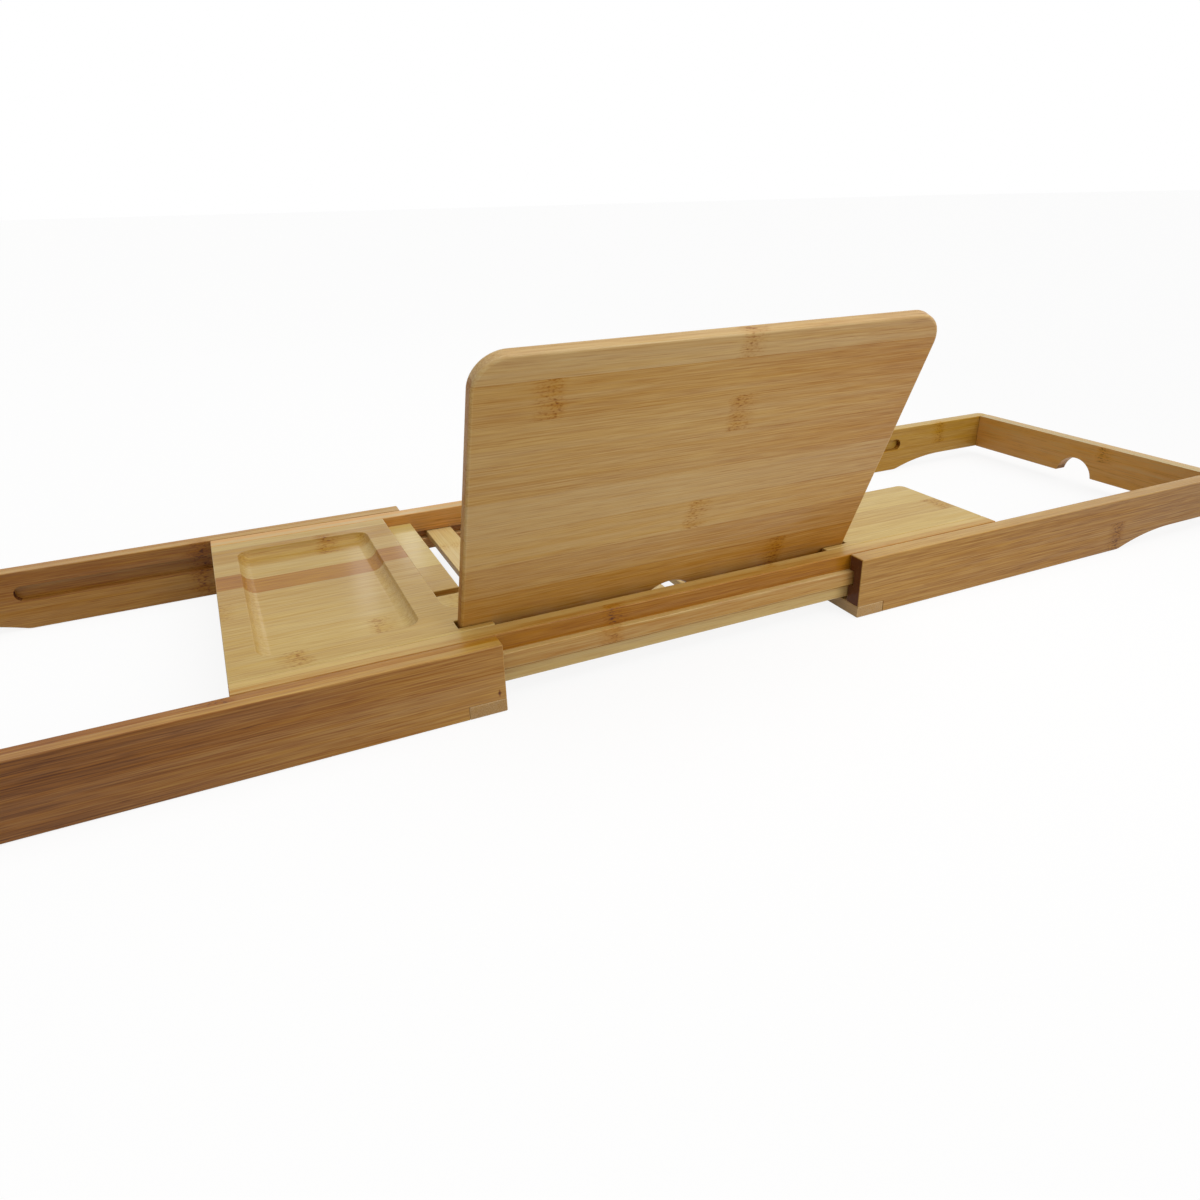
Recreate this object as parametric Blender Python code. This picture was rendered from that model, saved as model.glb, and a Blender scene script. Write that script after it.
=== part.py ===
"""Expanding bath caddy in bamboo.

A centre tray slides between two U-shaped arms, tongue in groove, and a loose panel stands in a
slanted slot as a book rest. Lengths are in metres and angles in degrees. X runs along the caddy,
Y from front to back and Z up. Each body is modelled about its own empty, with Y = 0 in the middle
of the caddy's depth and Z = 0 on the arms' underside.
"""

import math

import bmesh
import bpy
from mathutils import Vector

# Overall sizes and stock
CADDY_DEPTH = 0.238
RAIL_HEIGHT = 0.0385
ARM_LENGTH = 0.350
ARM_RAIL_THICKNESS = 0.011
TRAY_RAIL_THICKNESS = 0.0115
FIT = 0.0003
OVERRUN = 0.004

# How far each arm's inner end stands from the tray's middle at rest, and the length of the tray
# that an arm still holds at the stop
LEFT_ARM_OPEN = 0.1109
RIGHT_ARM_OPEN = 0.1155
ARM_HOLD_AT_STOP = 0.062

# Tray layout along X
BAY_LENGTH = 0.214
BOARD_LENGTH = 0.130

# Sliding tongue on the tray rails and its groove in the arm rails
SLIDE_GAP = 0.0005
TONGUE_DROP = 0.0100
TONGUE_HEIGHT = 0.0092
TONGUE_PROJECTION = 0.0032
TONGUE_END_GAP = 0.0020
GROOVE_SPARE = 0.004

# Scooped underside of the arms, where they sit on the bath's rim
SCOOP_START = 0.112
SCOOP_RISE = 0.009
SCOOP_SLOPE = 18
SCOOP_CURVE_SHARE = 0.92
SCOOP_EASE_SHARE = 0.06

# Finger-jointed outer corners and the arched notch in the end rails
FINGER_COUNT = 3
CORNER_RADIUS = 0.005
ARCH_RADIUS = 0.0167
ARCH_CENTRE_DROP = 0.0023

# Cross strip under each arm's inner end, and its screws
STRIP_WIDTH = 0.020
STRIP_THICKNESS = 0.0075
SCREW_RADIUS = 0.00175
SCREW_HEAD_RADIUS = 0.0035
SCREW_HEAD_RIM = 0.0004
SCREW_SINK = 0.0003
SCREW_COVER = 0.003
SCREW_TIP = 0.002
SCREW_CROSS_LENGTH = 0.0040
SCREW_CROSS_WIDTH = 0.0010
SCREW_CROSS_DEPTH = 0.0014

# Pegs under the tray rails that stop the arms
PEG_RADIUS = 0.0025
PEG_SEAT = 0.006
PEG_REACH_SHARE = 0.6
TRAY_CLEARANCE = 0.0026

# Slats across the bay, let into a groove along the tray rails
SLAT_COUNT = 7
SLAT_WIDTH = 0.018
SLAT_THICKNESS = 0.005
SLAT_DROP = 0.0147
SLAT_GROOVE_DEPTH = 0.005

# Soap recess, routed with a cove
RECESS_DEPTH = 0.005
RECESS_END_MARGIN = 0.0143
RECESS_SIDE_MARGIN = 0.0182
RECESS_LAND = 0.0155
RECESS_CORNER_RADIUS = 0.0095

# Stemware slot, open at the glass board's outer end
GLASS_SLOT_WIDTH = 0.039
GLASS_SLOT_DEPTH = 0.058
GLASS_SLOT_MOUTH_RADIUS = 0.005

# Book panel
PANEL_LEAN = 22.5
PANEL_HEIGHT = 0.165
PANEL_THICKNESS = 0.007
PANEL_BEARING = 0.0171
PANEL_INSERT = 0.0084
PANEL_FRONT_SETBACK = 0.0053
PANEL_CORNER_RADIUS = 0.017
PANEL_EDGE_RADIUS = 0.0015
PANEL_NOTCH_RADIUS = 0.016
PANEL_NOTCH_HEIGHT = 0.0076

# Ledges that take the panel flat, and the two slots that take it standing
LEDGE_SIDE_GAP = 0.0015
LEDGE_DEPTH = 0.0066
LEDGE_START = 0.0255
LEDGE_CORNER_RADIUS = 0.016
LEAN_SLOT_PLAY = 0.0008
UPRIGHT_SLOT_OFFSET = 0.0401
UPRIGHT_SLOT_DEPTH = 0.005

# Eased edges, facets and tolerances
ARM_EDGE_RADIUS = 0.0008
TRAY_EDGE_RADIUS = 0.0006
SLAT_EDGE_RADIUS = 0.0006
EASE_FACETS = 2
CORNER_FACETS = 4
COVE_FACETS = 4
FINE_TURN = 3
ARC_TURN = 15
SHARP_ANGLE = 35
TURNED_SIDES = 16
SAME_POINT = 0.000001
ROUND_PROFILE_SHARE = 0.5

# Colours are linear, with roughness beside them
BAMBOO = {
    "arm_rail": ((0.31, 0.18, 0.075), 0.55),
    "arm_end": ((0.35, 0.21, 0.09), 0.55),
    "tray_rail": ((0.36, 0.19, 0.065), 0.5),
    "board": ((0.50, 0.34, 0.16), 0.5),
    "slat": ((0.56, 0.42, 0.20), 0.55),
    "panel": ((0.42, 0.27, 0.12), 0.5),
    "strip": ((0.38, 0.26, 0.13), 0.6),
    "peg": ((0.40, 0.25, 0.10), 0.6),
}
STEEL = ((0.55, 0.55, 0.53), 0.35)

# Sizes worked out from the ones above
HALF_DEPTH = CADDY_DEPTH / 2
ARM_INNER = HALF_DEPTH - ARM_RAIL_THICKNESS
TRAY_OUTER = ARM_INNER - SLIDE_GAP
TRAY_INNER = TRAY_OUTER - TRAY_RAIL_THICKNESS
HALF_BAY = BAY_LENGTH / 2
HALF_TRAY = HALF_BAY + BOARD_LENGTH
ARM_STOP_OPEN = HALF_TRAY - ARM_HOLD_AT_STOP
TONGUE_TOP = RAIL_HEIGHT - TONGUE_DROP
TONGUE_BOTTOM = TONGUE_TOP - TONGUE_HEIGHT
GROOVE_DEPTH = TONGUE_PROJECTION - SLIDE_GAP + TONGUE_END_GAP
GROOVE_TOP = TONGUE_TOP + FIT
GROOVE_BOTTOM = TONGUE_BOTTOM - FIT
TRAY_BOTTOM = STRIP_THICKNESS + TRAY_CLEARANCE
SCREW_END = GROOVE_BOTTOM - SCREW_COVER
SCREW_INSET = ARM_RAIL_THICKNESS / 2
SLAT_TOP = RAIL_HEIGHT - SLAT_DROP
SLAT_BOTTOM = SLAT_TOP - SLAT_THICKNESS
SLAT_GAP = (BAY_LENGTH - SLAT_COUNT * SLAT_WIDTH) / (SLAT_COUNT + 1)
LEDGE_TOP = RAIL_HEIGHT - LEDGE_DEPTH
LEDGE_FRONT = -TRAY_INNER + LEDGE_START
PANEL_HALF_WIDTH = HALF_BAY + PANEL_BEARING
LEDGE_SIDE = PANEL_HALF_WIDTH + LEDGE_SIDE_GAP
LEAN = math.radians(PANEL_LEAN)
PANEL_FRONT = -TRAY_INNER + PANEL_FRONT_SETBACK
PANEL_FOOT = (
    PANEL_FRONT + PANEL_INSERT * math.sin(LEAN),
    RAIL_HEIGHT - PANEL_INSERT * math.cos(LEAN),
)

# The origin is under the middle of the whole object's box at rest
PANEL_OVERHANG = (
    PANEL_FOOT[0]
    - PANEL_HEIGHT * math.sin(LEAN)
    + PANEL_EDGE_RADIUS * (math.sin(LEAN) + math.cos(LEAN) - 1)
)
ORIGIN_X = (RIGHT_ARM_OPEN - LEFT_ARM_OPEN) / 2
ORIGIN_Y = (HALF_DEPTH + PANEL_OVERHANG) / 2


def clear_scene():
    for thing in list(bpy.data.objects):
        bpy.data.objects.remove(thing, do_unlink=True)


def finish(name, recipe, metallic=0):
    """A sub-part's own material, from a (colour, roughness) recipe."""
    colour, roughness = recipe
    material = bpy.data.materials.new(name)
    material.use_nodes = True
    shader = material.node_tree.nodes["Principled BSDF"]
    shader.inputs["Base Color"].default_value = (*colour, 1)
    shader.inputs["Roughness"].default_value = roughness
    shader.inputs["Metallic"].default_value = metallic
    return material


def fillet(corners, turn=ARC_TURN):
    """The outline through (a, b, radius) corners, with an arc at each corner that has a radius."""
    points = []
    for index, (a, b, radius) in enumerate(corners):
        here = Vector((a, b))
        if not radius:
            points.append(here)
            continue
        back = (Vector(corners[index - 1][:2]) - here).normalized()
        ahead = (Vector(corners[(index + 1) % len(corners)][:2]) - here).normalized()
        half = back.angle(ahead) / 2
        centre = here + (back + ahead).normalized() * radius / math.sin(half)
        reach = radius / math.tan(half)
        start = here + back * reach - centre
        end = here + ahead * reach - centre
        first = math.atan2(start.y, start.x)
        sweep = math.remainder(math.atan2(end.y, end.x) - first, math.tau)
        steps = max(2, math.ceil(abs(math.degrees(sweep)) / turn))
        for step in range(steps + 1):
            angle = first + sweep * step / steps
            points.append(centre + radius * Vector((math.cos(angle), math.sin(angle))))
    return [p for i, p in enumerate(points) if (p - points[i - 1]).length > SAME_POINT]


def arch(radius, centre_height, base_height, turn=ARC_TURN):
    """Points of a round notch that rises from the line at base_height, from +a to -a."""
    rise = math.asin((base_height - centre_height) / radius)
    steps = math.ceil(math.degrees(math.pi - 2 * rise) / turn)
    angles = [rise + (math.pi - 2 * rise) * step / steps for step in range(steps + 1)]
    return [Vector((radius * math.cos(t), centre_height + radius * math.sin(t))) for t in angles]


def prism(outline, axis, start, end):
    """The outline, in the two other axes, swept along one axis into a closed solid."""
    order = {"X": (2, 0, 1), "Y": (0, 2, 1), "Z": (0, 1, 2)}[axis]

    def place(point, along):
        values = (point[0], point[1], along)
        return Vector([values[i] for i in order])

    shape = bmesh.new()
    face = shape.faces.new([shape.verts.new(place(point, start)) for point in outline])
    swept = bmesh.ops.extrude_face_region(shape, geom=[face])["geom"]
    moved = [item for item in swept if isinstance(item, bmesh.types.BMVert)]
    bmesh.ops.translate(shape, verts=moved, vec=place((0, 0), end) - place((0, 0), start))
    bmesh.ops.recalc_face_normals(shape, faces=shape.faces)
    return shape


def block(low, high):
    """A box between two corners."""
    outline = [(low[0], low[1]), (high[0], low[1]), (high[0], high[1]), (low[0], high[1])]
    return prism(outline, "Z", low[2], high[2])


def turned(profile, centre):
    """A (radius, height) profile spun about the vertical line through centre."""
    shape = bmesh.new()
    points = [shape.verts.new((centre[0] + r, centre[1], z)) for r, z in profile]
    edges = [shape.edges.new(pair) for pair in zip(points, points[1:])]
    bmesh.ops.spin(
        shape, geom=points + edges, cent=(centre[0], centre[1], 0), axis=(0, 0, 1),
        angle=math.tau, steps=TURNED_SIDES, use_merge=True,
    )
    bmesh.ops.remove_doubles(shape, verts=shape.verts, dist=SAME_POINT)
    bmesh.ops.recalc_face_normals(shape, faces=shape.faces)
    return shape


def bevel(shape, radius, facets, chosen):
    """Rounds the edges whose two ends pass the test."""
    edges = [e for e in shape.edges if chosen(e, e.verts[0].co, e.verts[1].co)]
    bmesh.ops.bevel(
        shape, geom=edges, offset=radius, offset_type="OFFSET", segments=facets,
        profile=ROUND_PROFILE_SHARE, affect="EDGES", clamp_overlap=False,
    )
    return shape


def is_arris(edge):
    """True on a sharp outer edge, but not in an inside corner."""
    if len(edge.link_faces) != 2:
        return False
    return edge.is_convex and edge.calc_face_angle() > math.radians(SHARP_ANGLE)


def add(name, shape, body, material=None):
    """Makes a named object of the shape and hangs it on its body's empty."""
    mesh = bpy.data.meshes.new(name)
    shape.to_mesh(mesh)
    shape.free()
    thing = bpy.data.objects.new(name, mesh)
    bpy.context.scene.collection.objects.link(thing)
    thing.parent = body
    if material:
        mesh.materials.append(material)
        mesh.shade_smooth()
        mesh.set_sharp_from_angle(angle=math.radians(SHARP_ANGLE))
    return thing


def carve(shape, *cutters):
    """Takes the cutters out of the shape with exact Booleans."""
    blank = add("blank", shape, None)
    tools = [add("cutter", cutter, None) for cutter in cutters]
    for tool in tools:
        tool.hide_render = True
        tool.display_type = "WIRE"
        cut = blank.modifiers.new("cut", "BOOLEAN")
        cut.operation = "DIFFERENCE"
        cut.solver = "EXACT"
        cut.object = tool
    bpy.context.view_layer.update()
    depsgraph = bpy.context.evaluated_depsgraph_get()
    result = bmesh.new()
    result.from_object(blank, depsgraph)
    for thing in [blank, *tools]:
        bpy.data.objects.remove(thing, do_unlink=True)
    bmesh.ops.remove_doubles(result, verts=result.verts, dist=SAME_POINT)
    return result


def ease(shape, radius, skip=lambda a, b: False):
    """Eases the outer edges of a finished shape, as sanding does."""
    return bevel(shape, radius, EASE_FACETS, lambda e, a, b: is_arris(e) and not skip(a, b))


def screw_profile(extra=0):
    """A countersunk screw, head down. extra widens it into the hole that takes it."""
    sink = -OVERRUN if extra else SCREW_SINK
    head = SCREW_HEAD_RADIUS + extra
    shank = SCREW_RADIUS + extra
    rim = SCREW_SINK + SCREW_HEAD_RIM + extra
    tip = SCREW_END + extra
    return [
        (0, sink),
        (head, sink),
        (head, rim),
        (shank, rim + SCREW_HEAD_RADIUS - SCREW_RADIUS),
        (shank, tip - SCREW_TIP),
        (0, tip),
    ]


def screw_places(side):
    """Centres of an arm's two screws, front and rear."""
    x = side * STRIP_WIDTH / 2
    return [(x, y * (HALF_DEPTH - SCREW_INSET)) for y in (-1, 1)]


def finger_heights():
    """Heights of the faces between the fingers at the outer corners, bottom and top of each."""
    finger = (RAIL_HEIGHT - SCOOP_RISE) / FINGER_COUNT
    return [SCOOP_RISE + finger * n for n in range(FINGER_COUNT + 1)]


def arm_long_rail(side, wall):
    """Side rail of an arm: housed for the strip, scooped below, grooved inside, fingered outside."""
    run = SCOOP_RISE / math.sin(math.radians(SCOOP_SLOPE))
    bend = math.tan(math.radians(SCOOP_SLOPE) / 2)
    scoop_from = ARM_LENGTH - SCOOP_START
    scoop_to = scoop_from + run * math.cos(math.radians(SCOOP_SLOPE))
    housing = (STRIP_WIDTH + FIT, STRIP_THICKNESS + FIT)
    corners = [
        (0, housing[1], 0),
        (housing[0], housing[1], 0),
        (housing[0], 0, 0),
        (scoop_from, 0, run * SCOOP_EASE_SHARE / bend),
        (scoop_to, SCOOP_RISE, run * SCOOP_CURVE_SHARE / bend),
        (ARM_LENGTH, SCOOP_RISE, 0),
        (ARM_LENGTH, RAIL_HEIGHT, 0),
        (0, RAIL_HEIGHT, 0),
    ]
    outline = [(side * p.x, p.y) for p in fillet(corners, FINE_TURN)]
    rail = prism(outline, "Y", wall * ARM_INNER, wall * HALF_DEPTH)
    end = side * ARM_LENGTH

    def outer_corner(edge, a, b):
        return all(abs(p.x - end) < FIT and abs(p.y - wall * HALF_DEPTH) < FIT for p in (a, b))

    bevel(rail, CORNER_RADIUS, CORNER_FACETS, outer_corner)
    radius = (GROOVE_TOP - GROOVE_BOTTOM) / 2
    length = HALF_TRAY + GROOVE_SPARE
    track = [
        (-OVERRUN, GROOVE_BOTTOM, 0),
        (length, GROOVE_BOTTOM, radius),
        (length, GROOVE_TOP, radius),
        (-OVERRUN, GROOVE_TOP, 0),
    ]
    groove_outline = [(side * p.x, p.y) for p in fillet(track)]
    face = wall * (ARM_INNER - OVERRUN)
    groove = prism(groove_outline, "Y", face, wall * (ARM_INNER + GROOVE_DEPTH))
    levels = finger_heights()
    shoulder = ARM_LENGTH - ARM_RAIL_THICKNESS - FIT
    sockets = [(levels[n], levels[n + 1]) for n in range(1, FINGER_COUNT, 2)]
    cutters = [groove]
    for low, high in sockets:
        near = (side * shoulder, wall * (ARM_INNER - OVERRUN), low)
        far = (side * (ARM_LENGTH + OVERRUN), wall * (HALF_DEPTH + OVERRUN), high)
        cutters.append(block(near, far))
    pilot = [p for p in screw_places(side) if p[1] * wall > 0][0]
    cutters.append(turned(screw_profile(FIT), pilot))
    rail = carve(rail, *cutters)

    def in_joint(*ends):
        at_end = all(abs(p.x) > shoulder - FIT for p in ends)
        at_socket = any(low - FIT < p.z < high + FIT for p in ends for low, high in sockets)
        at_end_rail = all(abs(p.y) < ARM_INNER + FIT for p in ends)
        housed = all(abs(p.x) < housing[0] + FIT and p.z < housing[1] + FIT for p in ends)
        bored = all((p.xy - Vector(pilot)).length < SCREW_HEAD_RADIUS + 2 * FIT for p in ends)
        return housed or bored or (at_end and (at_socket or at_end_rail))

    return ease(rail, ARM_EDGE_RADIUS, in_joint)


def arm_end_rail(side):
    """End rail of an arm: fingers at both ends, arched notch in the lower edge."""
    levels = finger_heights()
    shoulder = ARM_INNER - FIT
    right = [Vector((shoulder, levels[0]))]
    for n in range(1, FINGER_COUNT, 2):
        low, high = (levels[n] + FIT, levels[n + 1] - FIT)
        right += [Vector((shoulder, low)), Vector((HALF_DEPTH, low))]
        right += [Vector((HALF_DEPTH, high)), Vector((shoulder, high))]
    right.append(Vector((shoulder, levels[-1])))
    left = [Vector((-p.x, p.y)) for p in reversed(right)]
    notch = arch(ARCH_RADIUS, SCOOP_RISE - ARCH_CENTRE_DROP, SCOOP_RISE)
    outline = right + left + list(reversed(notch))
    inner, outer = (side * (ARM_LENGTH - ARM_RAIL_THICKNESS), side * ARM_LENGTH)
    rail = prism(outline, "X", inner, outer)

    def outer_corner(edge, a, b):
        return all(abs(p.x - outer) < FIT and abs(abs(p.y) - HALF_DEPTH) < FIT for p in (a, b))

    bevel(rail, CORNER_RADIUS, CORNER_FACETS, outer_corner)

    def in_joint(a, b):
        return all(abs(p.y) > shoulder - FIT for p in (a, b))

    return ease(rail, ARM_EDGE_RADIUS, in_joint)


def cross_strip(side):
    """Flat strip across the underside, its ends let into both long rails."""
    strip = block((0, -HALF_DEPTH, 0), (side * STRIP_WIDTH, HALF_DEPTH, STRIP_THICKNESS))
    holes = [turned(screw_profile(FIT), place) for place in screw_places(side)]
    strip = carve(strip, *holes)

    def around_screw(a, b):
        reach = SCREW_HEAD_RADIUS + 2 * FIT
        return any((a.xy - Vector(p)).length < reach for p in screw_places(side))

    return ease(strip, TRAY_EDGE_RADIUS, around_screw)


def strip_screw(place):
    """One countersunk screw of a strip, with a cross recess in its head."""
    x, y = place
    depth = SCREW_SINK + SCREW_CROSS_DEPTH
    long, thin = (SCREW_CROSS_LENGTH / 2, SCREW_CROSS_WIDTH / 2)
    arm_x = block((x - long, y - thin, -OVERRUN), (x + long, y + thin, depth))
    arm_y = block((x - thin, y - long, -OVERRUN), (x + thin, y + long, depth))
    return carve(turned(screw_profile(), place), arm_x, arm_y)


def tray_rail(wall):
    """Side rail of the tray: tongue outside, slat groove inside, two pegs below."""
    deep = TRAY_INNER + SLAT_GROOVE_DEPTH
    tip = TRAY_OUTER + TONGUE_PROJECTION
    section = [
        (TRAY_INNER, TRAY_BOTTOM),
        (TRAY_OUTER, TRAY_BOTTOM),
        (TRAY_OUTER, TONGUE_BOTTOM),
        (tip, TONGUE_BOTTOM),
        (tip, TONGUE_TOP),
        (TRAY_OUTER, TONGUE_TOP),
        (TRAY_OUTER, RAIL_HEIGHT),
        (TRAY_INNER, RAIL_HEIGHT),
        (TRAY_INNER, SLAT_TOP + FIT),
        (deep, SLAT_TOP + FIT),
        (deep, SLAT_BOTTOM - FIT),
        (TRAY_INNER, SLAT_BOTTOM - FIT),
    ]
    outline = [(wall * y, z) for y, z in section]
    rail = prism(outline, "X", -HALF_TRAY, HALF_TRAY)
    holes = [peg(place, FIT) for place in peg_places() if place[1] * wall > 0]
    rail = carve(rail, *holes)

    def around_peg(a, b):
        return all(p.z < TRAY_BOTTOM + PEG_SEAT + OVERRUN for p in (a, b)) and any(
            (a.xy - Vector(p)).length < PEG_RADIUS + 2 * FIT for p in peg_places()
        )

    return ease(rail, TRAY_EDGE_RADIUS, around_peg)


def peg_places():
    """Centres of the pegs, which the strips meet when the arms are full out."""
    x = ARM_STOP_OPEN + STRIP_WIDTH + PEG_RADIUS + FIT
    y = (TRAY_INNER + TRAY_OUTER) / 2
    return [(side * x, wall * y) for side in (-1, 1) for wall in (-1, 1)]


def peg(place, extra=0):
    """One stop peg, or with extra the hole for it."""
    foot = STRIP_THICKNESS * (1 - PEG_REACH_SHARE)
    low = TRAY_BOTTOM - OVERRUN if extra else foot
    high = TRAY_BOTTOM + PEG_SEAT + extra
    radius = PEG_RADIUS + extra
    return turned([(0, low), (radius, low), (radius, high), (0, high)], place)


def slat(index):
    """One slat, counted from the left, its ends in the grooves of both tray rails."""
    left = -HALF_BAY + SLAT_GAP + index * (SLAT_WIDTH + SLAT_GAP)
    reach = TRAY_INNER + SLAT_GROOVE_DEPTH - FIT
    shape = block((left, -reach, SLAT_BOTTOM), (left + SLAT_WIDTH, reach, SLAT_TOP))
    return ease(shape, SLAT_EDGE_RADIUS)


def panel_point(up, back):
    """A point of the leaning panel's section, as (y, z)."""
    y = PANEL_FOOT[0] - up * math.sin(LEAN) + back * math.cos(LEAN)
    z = PANEL_FOOT[1] + up * math.cos(LEAN) + back * math.sin(LEAN)
    return (y, z)


def board_blank(side):
    """Plain board: flush with the rails' tops, with a tongue along each side for the groove."""
    wide = TRAY_INNER + SLAT_GROOVE_DEPTH - FIT
    narrow = TRAY_INNER - FIT
    outline = [
        (-wide, SLAT_BOTTOM), (wide, SLAT_BOTTOM), (wide, SLAT_TOP), (narrow, SLAT_TOP),
        (narrow, RAIL_HEIGHT), (-narrow, RAIL_HEIGHT), (-narrow, SLAT_TOP), (-wide, SLAT_TOP),
    ]
    return prism(outline, "X", side * HALF_BAY, side * HALF_TRAY)


def panel_seats(side):
    """Cutters of a board's inner end: the ledge, the leaning slot and the upright slot."""
    inner = HALF_BAY - OVERRUN
    above = RAIL_HEIGHT + OVERRUN
    corners = [
        (inner, LEDGE_FRONT, 0),
        (LEDGE_SIDE, LEDGE_FRONT, LEDGE_CORNER_RADIUS),
        (LEDGE_SIDE, TRAY_INNER + OVERRUN, 0),
        (inner, TRAY_INNER + OVERRUN, 0),
    ]
    outline = [(side * p.x, p.y) for p in fillet(corners)]
    ledge = prism(outline, "Z", LEDGE_TOP, above)
    mouth = PANEL_INSERT + PANEL_THICKNESS
    front, back = (-LEAN_SLOT_PLAY, PANEL_THICKNESS + LEAN_SLOT_PLAY)
    section = [
        panel_point(-FIT, front),
        panel_point(-FIT, back),
        panel_point(mouth, back),
        panel_point(mouth, front),
    ]
    leaning = prism(section, "X", side * inner, side * LEDGE_SIDE)
    middle = LEDGE_FRONT + UPRIGHT_SLOT_OFFSET
    half = PANEL_THICKNESS / 2 + FIT
    upright = block(
        (side * inner, middle - half, LEDGE_TOP - UPRIGHT_SLOT_DEPTH),
        (side * LEDGE_SIDE, middle + half, above),
    )
    return [ledge, leaning, upright]


def soap_board(side=-1):
    """Board with a coved recess for soap, and the panel's seats at its inner end."""
    outer = HALF_TRAY - RECESS_END_MARGIN
    inner = LEDGE_SIDE + RECESS_LAND
    reach = TRAY_INNER - RECESS_SIDE_MARGIN
    corners = [
        (inner, -reach, RECESS_CORNER_RADIUS),
        (outer, -reach, RECESS_CORNER_RADIUS),
        (outer, reach, RECESS_CORNER_RADIUS),
        (inner, reach, RECESS_CORNER_RADIUS),
    ]
    outline = [(side * p.x, p.y) for p in fillet(corners)]
    floor = RAIL_HEIGHT - RECESS_DEPTH
    recess = prism(outline, "Z", floor, RAIL_HEIGHT + OVERRUN)

    def at_floor(edge, a, b):
        return all(abs(p.z - floor) < FIT for p in (a, b))

    bevel(recess, RECESS_DEPTH - FIT, COVE_FACETS, at_floor)
    board = carve(board_blank(side), recess, *panel_seats(side))
    return ease(board, TRAY_EDGE_RADIUS, board_joint)


def glass_board(side=1):
    """Board with a round-ended slot for a glass's stem, flared at its mouth, and the panel's seats."""
    radius = GLASS_SLOT_WIDTH / 2
    inner = HALF_TRAY - GLASS_SLOT_DEPTH
    outer = HALF_TRAY + OVERRUN
    flare = radius + GLASS_SLOT_MOUTH_RADIUS
    corners = [
        (inner, -radius, radius),
        (HALF_TRAY, -radius, GLASS_SLOT_MOUTH_RADIUS),
        (HALF_TRAY, -flare, 0),
        (outer, -flare, 0),
        (outer, flare, 0),
        (HALF_TRAY, flare, 0),
        (HALF_TRAY, radius, GLASS_SLOT_MOUTH_RADIUS),
        (inner, radius, radius),
    ]
    outline = [(side * p.x, p.y) for p in fillet(corners)]
    slot = prism(outline, "Z", SLAT_BOTTOM - OVERRUN, RAIL_HEIGHT + OVERRUN)
    board = carve(board_blank(side), slot, *panel_seats(side))
    return ease(board, TRAY_EDGE_RADIUS, board_joint)


def board_joint(a, b):
    """Edges of the glued tongue stay sharp."""
    return all(p.z < SLAT_TOP + FIT and abs(p.y) > TRAY_INNER - 2 * FIT for p in (a, b))


def book_panel():
    """Loose panel, modelled upright in its own axes and leant by its empty."""
    notch = arch(PANEL_NOTCH_RADIUS, PANEL_NOTCH_HEIGHT - PANEL_NOTCH_RADIUS, 0)
    corners = [
        (PANEL_HALF_WIDTH, 0, 0),
        (PANEL_HALF_WIDTH, PANEL_HEIGHT, PANEL_CORNER_RADIUS),
        (-PANEL_HALF_WIDTH, PANEL_HEIGHT, PANEL_CORNER_RADIUS),
        (-PANEL_HALF_WIDTH, 0, 0),
    ]
    outline = fillet(corners) + list(reversed(notch))
    panel = prism(outline, "Y", 0, PANEL_THICKNESS)
    return ease(panel, PANEL_EDGE_RADIUS)


def body_empty(name, x, y=0, z=0, lean=0):
    """The empty that carries a body's pieces."""
    empty = bpy.data.objects.new(name, None)
    bpy.context.scene.collection.objects.link(empty)
    empty.location = (x - ORIGIN_X, y - ORIGIN_Y, z)
    empty.rotation_euler = (lean, 0, 0)
    return empty


def build_tray():
    tray = body_empty("tray_body", 0)
    for name, wall in (("tray_front_rail", -1), ("tray_rear_rail", 1)):
        add(name, tray_rail(wall), tray, finish(name, BAMBOO["tray_rail"]))
    add("soap_board", soap_board(), tray, finish("soap_board", BAMBOO["board"]))
    add("glass_board", glass_board(), tray, finish("glass_board", BAMBOO["board"]))
    for index in range(SLAT_COUNT):
        name = f"slat_{index + 1}"
        add(name, slat(index), tray, finish(name, BAMBOO["slat"]))
    for index, place in enumerate(peg_places()):
        name = f"stop_peg_{index + 1}"
        add(name, peg(place), tray, finish(name, BAMBOO["peg"]))


def build_arm(label, side, distance):
    arm = body_empty(f"{label}_body", side * distance)
    for place, wall in (("front", -1), ("rear", 1)):
        name = f"{label}_{place}_rail"
        add(name, arm_long_rail(side, wall), arm, finish(name, BAMBOO["arm_rail"]))
    name = f"{label}_end_rail"
    add(name, arm_end_rail(side), arm, finish(name, BAMBOO["arm_end"]))
    name = f"{label}_cross_strip"
    add(name, cross_strip(side), arm, finish(name, BAMBOO["strip"]))
    for place, end in zip(screw_places(side), ("front", "rear")):
        name = f"{label}_{end}_screw"
        add(name, strip_screw(place), arm, finish(name, STEEL, metallic=1))


def build_panel():
    body = body_empty("panel_body", 0, *PANEL_FOOT, lean=LEAN)
    add("book_panel", book_panel(), body, finish("book_panel", BAMBOO["panel"]))


clear_scene()
build_tray()
build_arm("left_arm", -1, LEFT_ARM_OPEN)
build_arm("right_arm", 1, RIGHT_ARM_OPEN)
build_panel()
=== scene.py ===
"""An expanding bamboo bath caddy with a book panel, dressed for its photograph.

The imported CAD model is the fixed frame: X runs along the caddy, Y from front to back, Z up from the
underside of the arms, in metres. Each section below makes one piece or group of like pieces, in the
order in which the caddy is put together.
"""

import math

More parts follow.
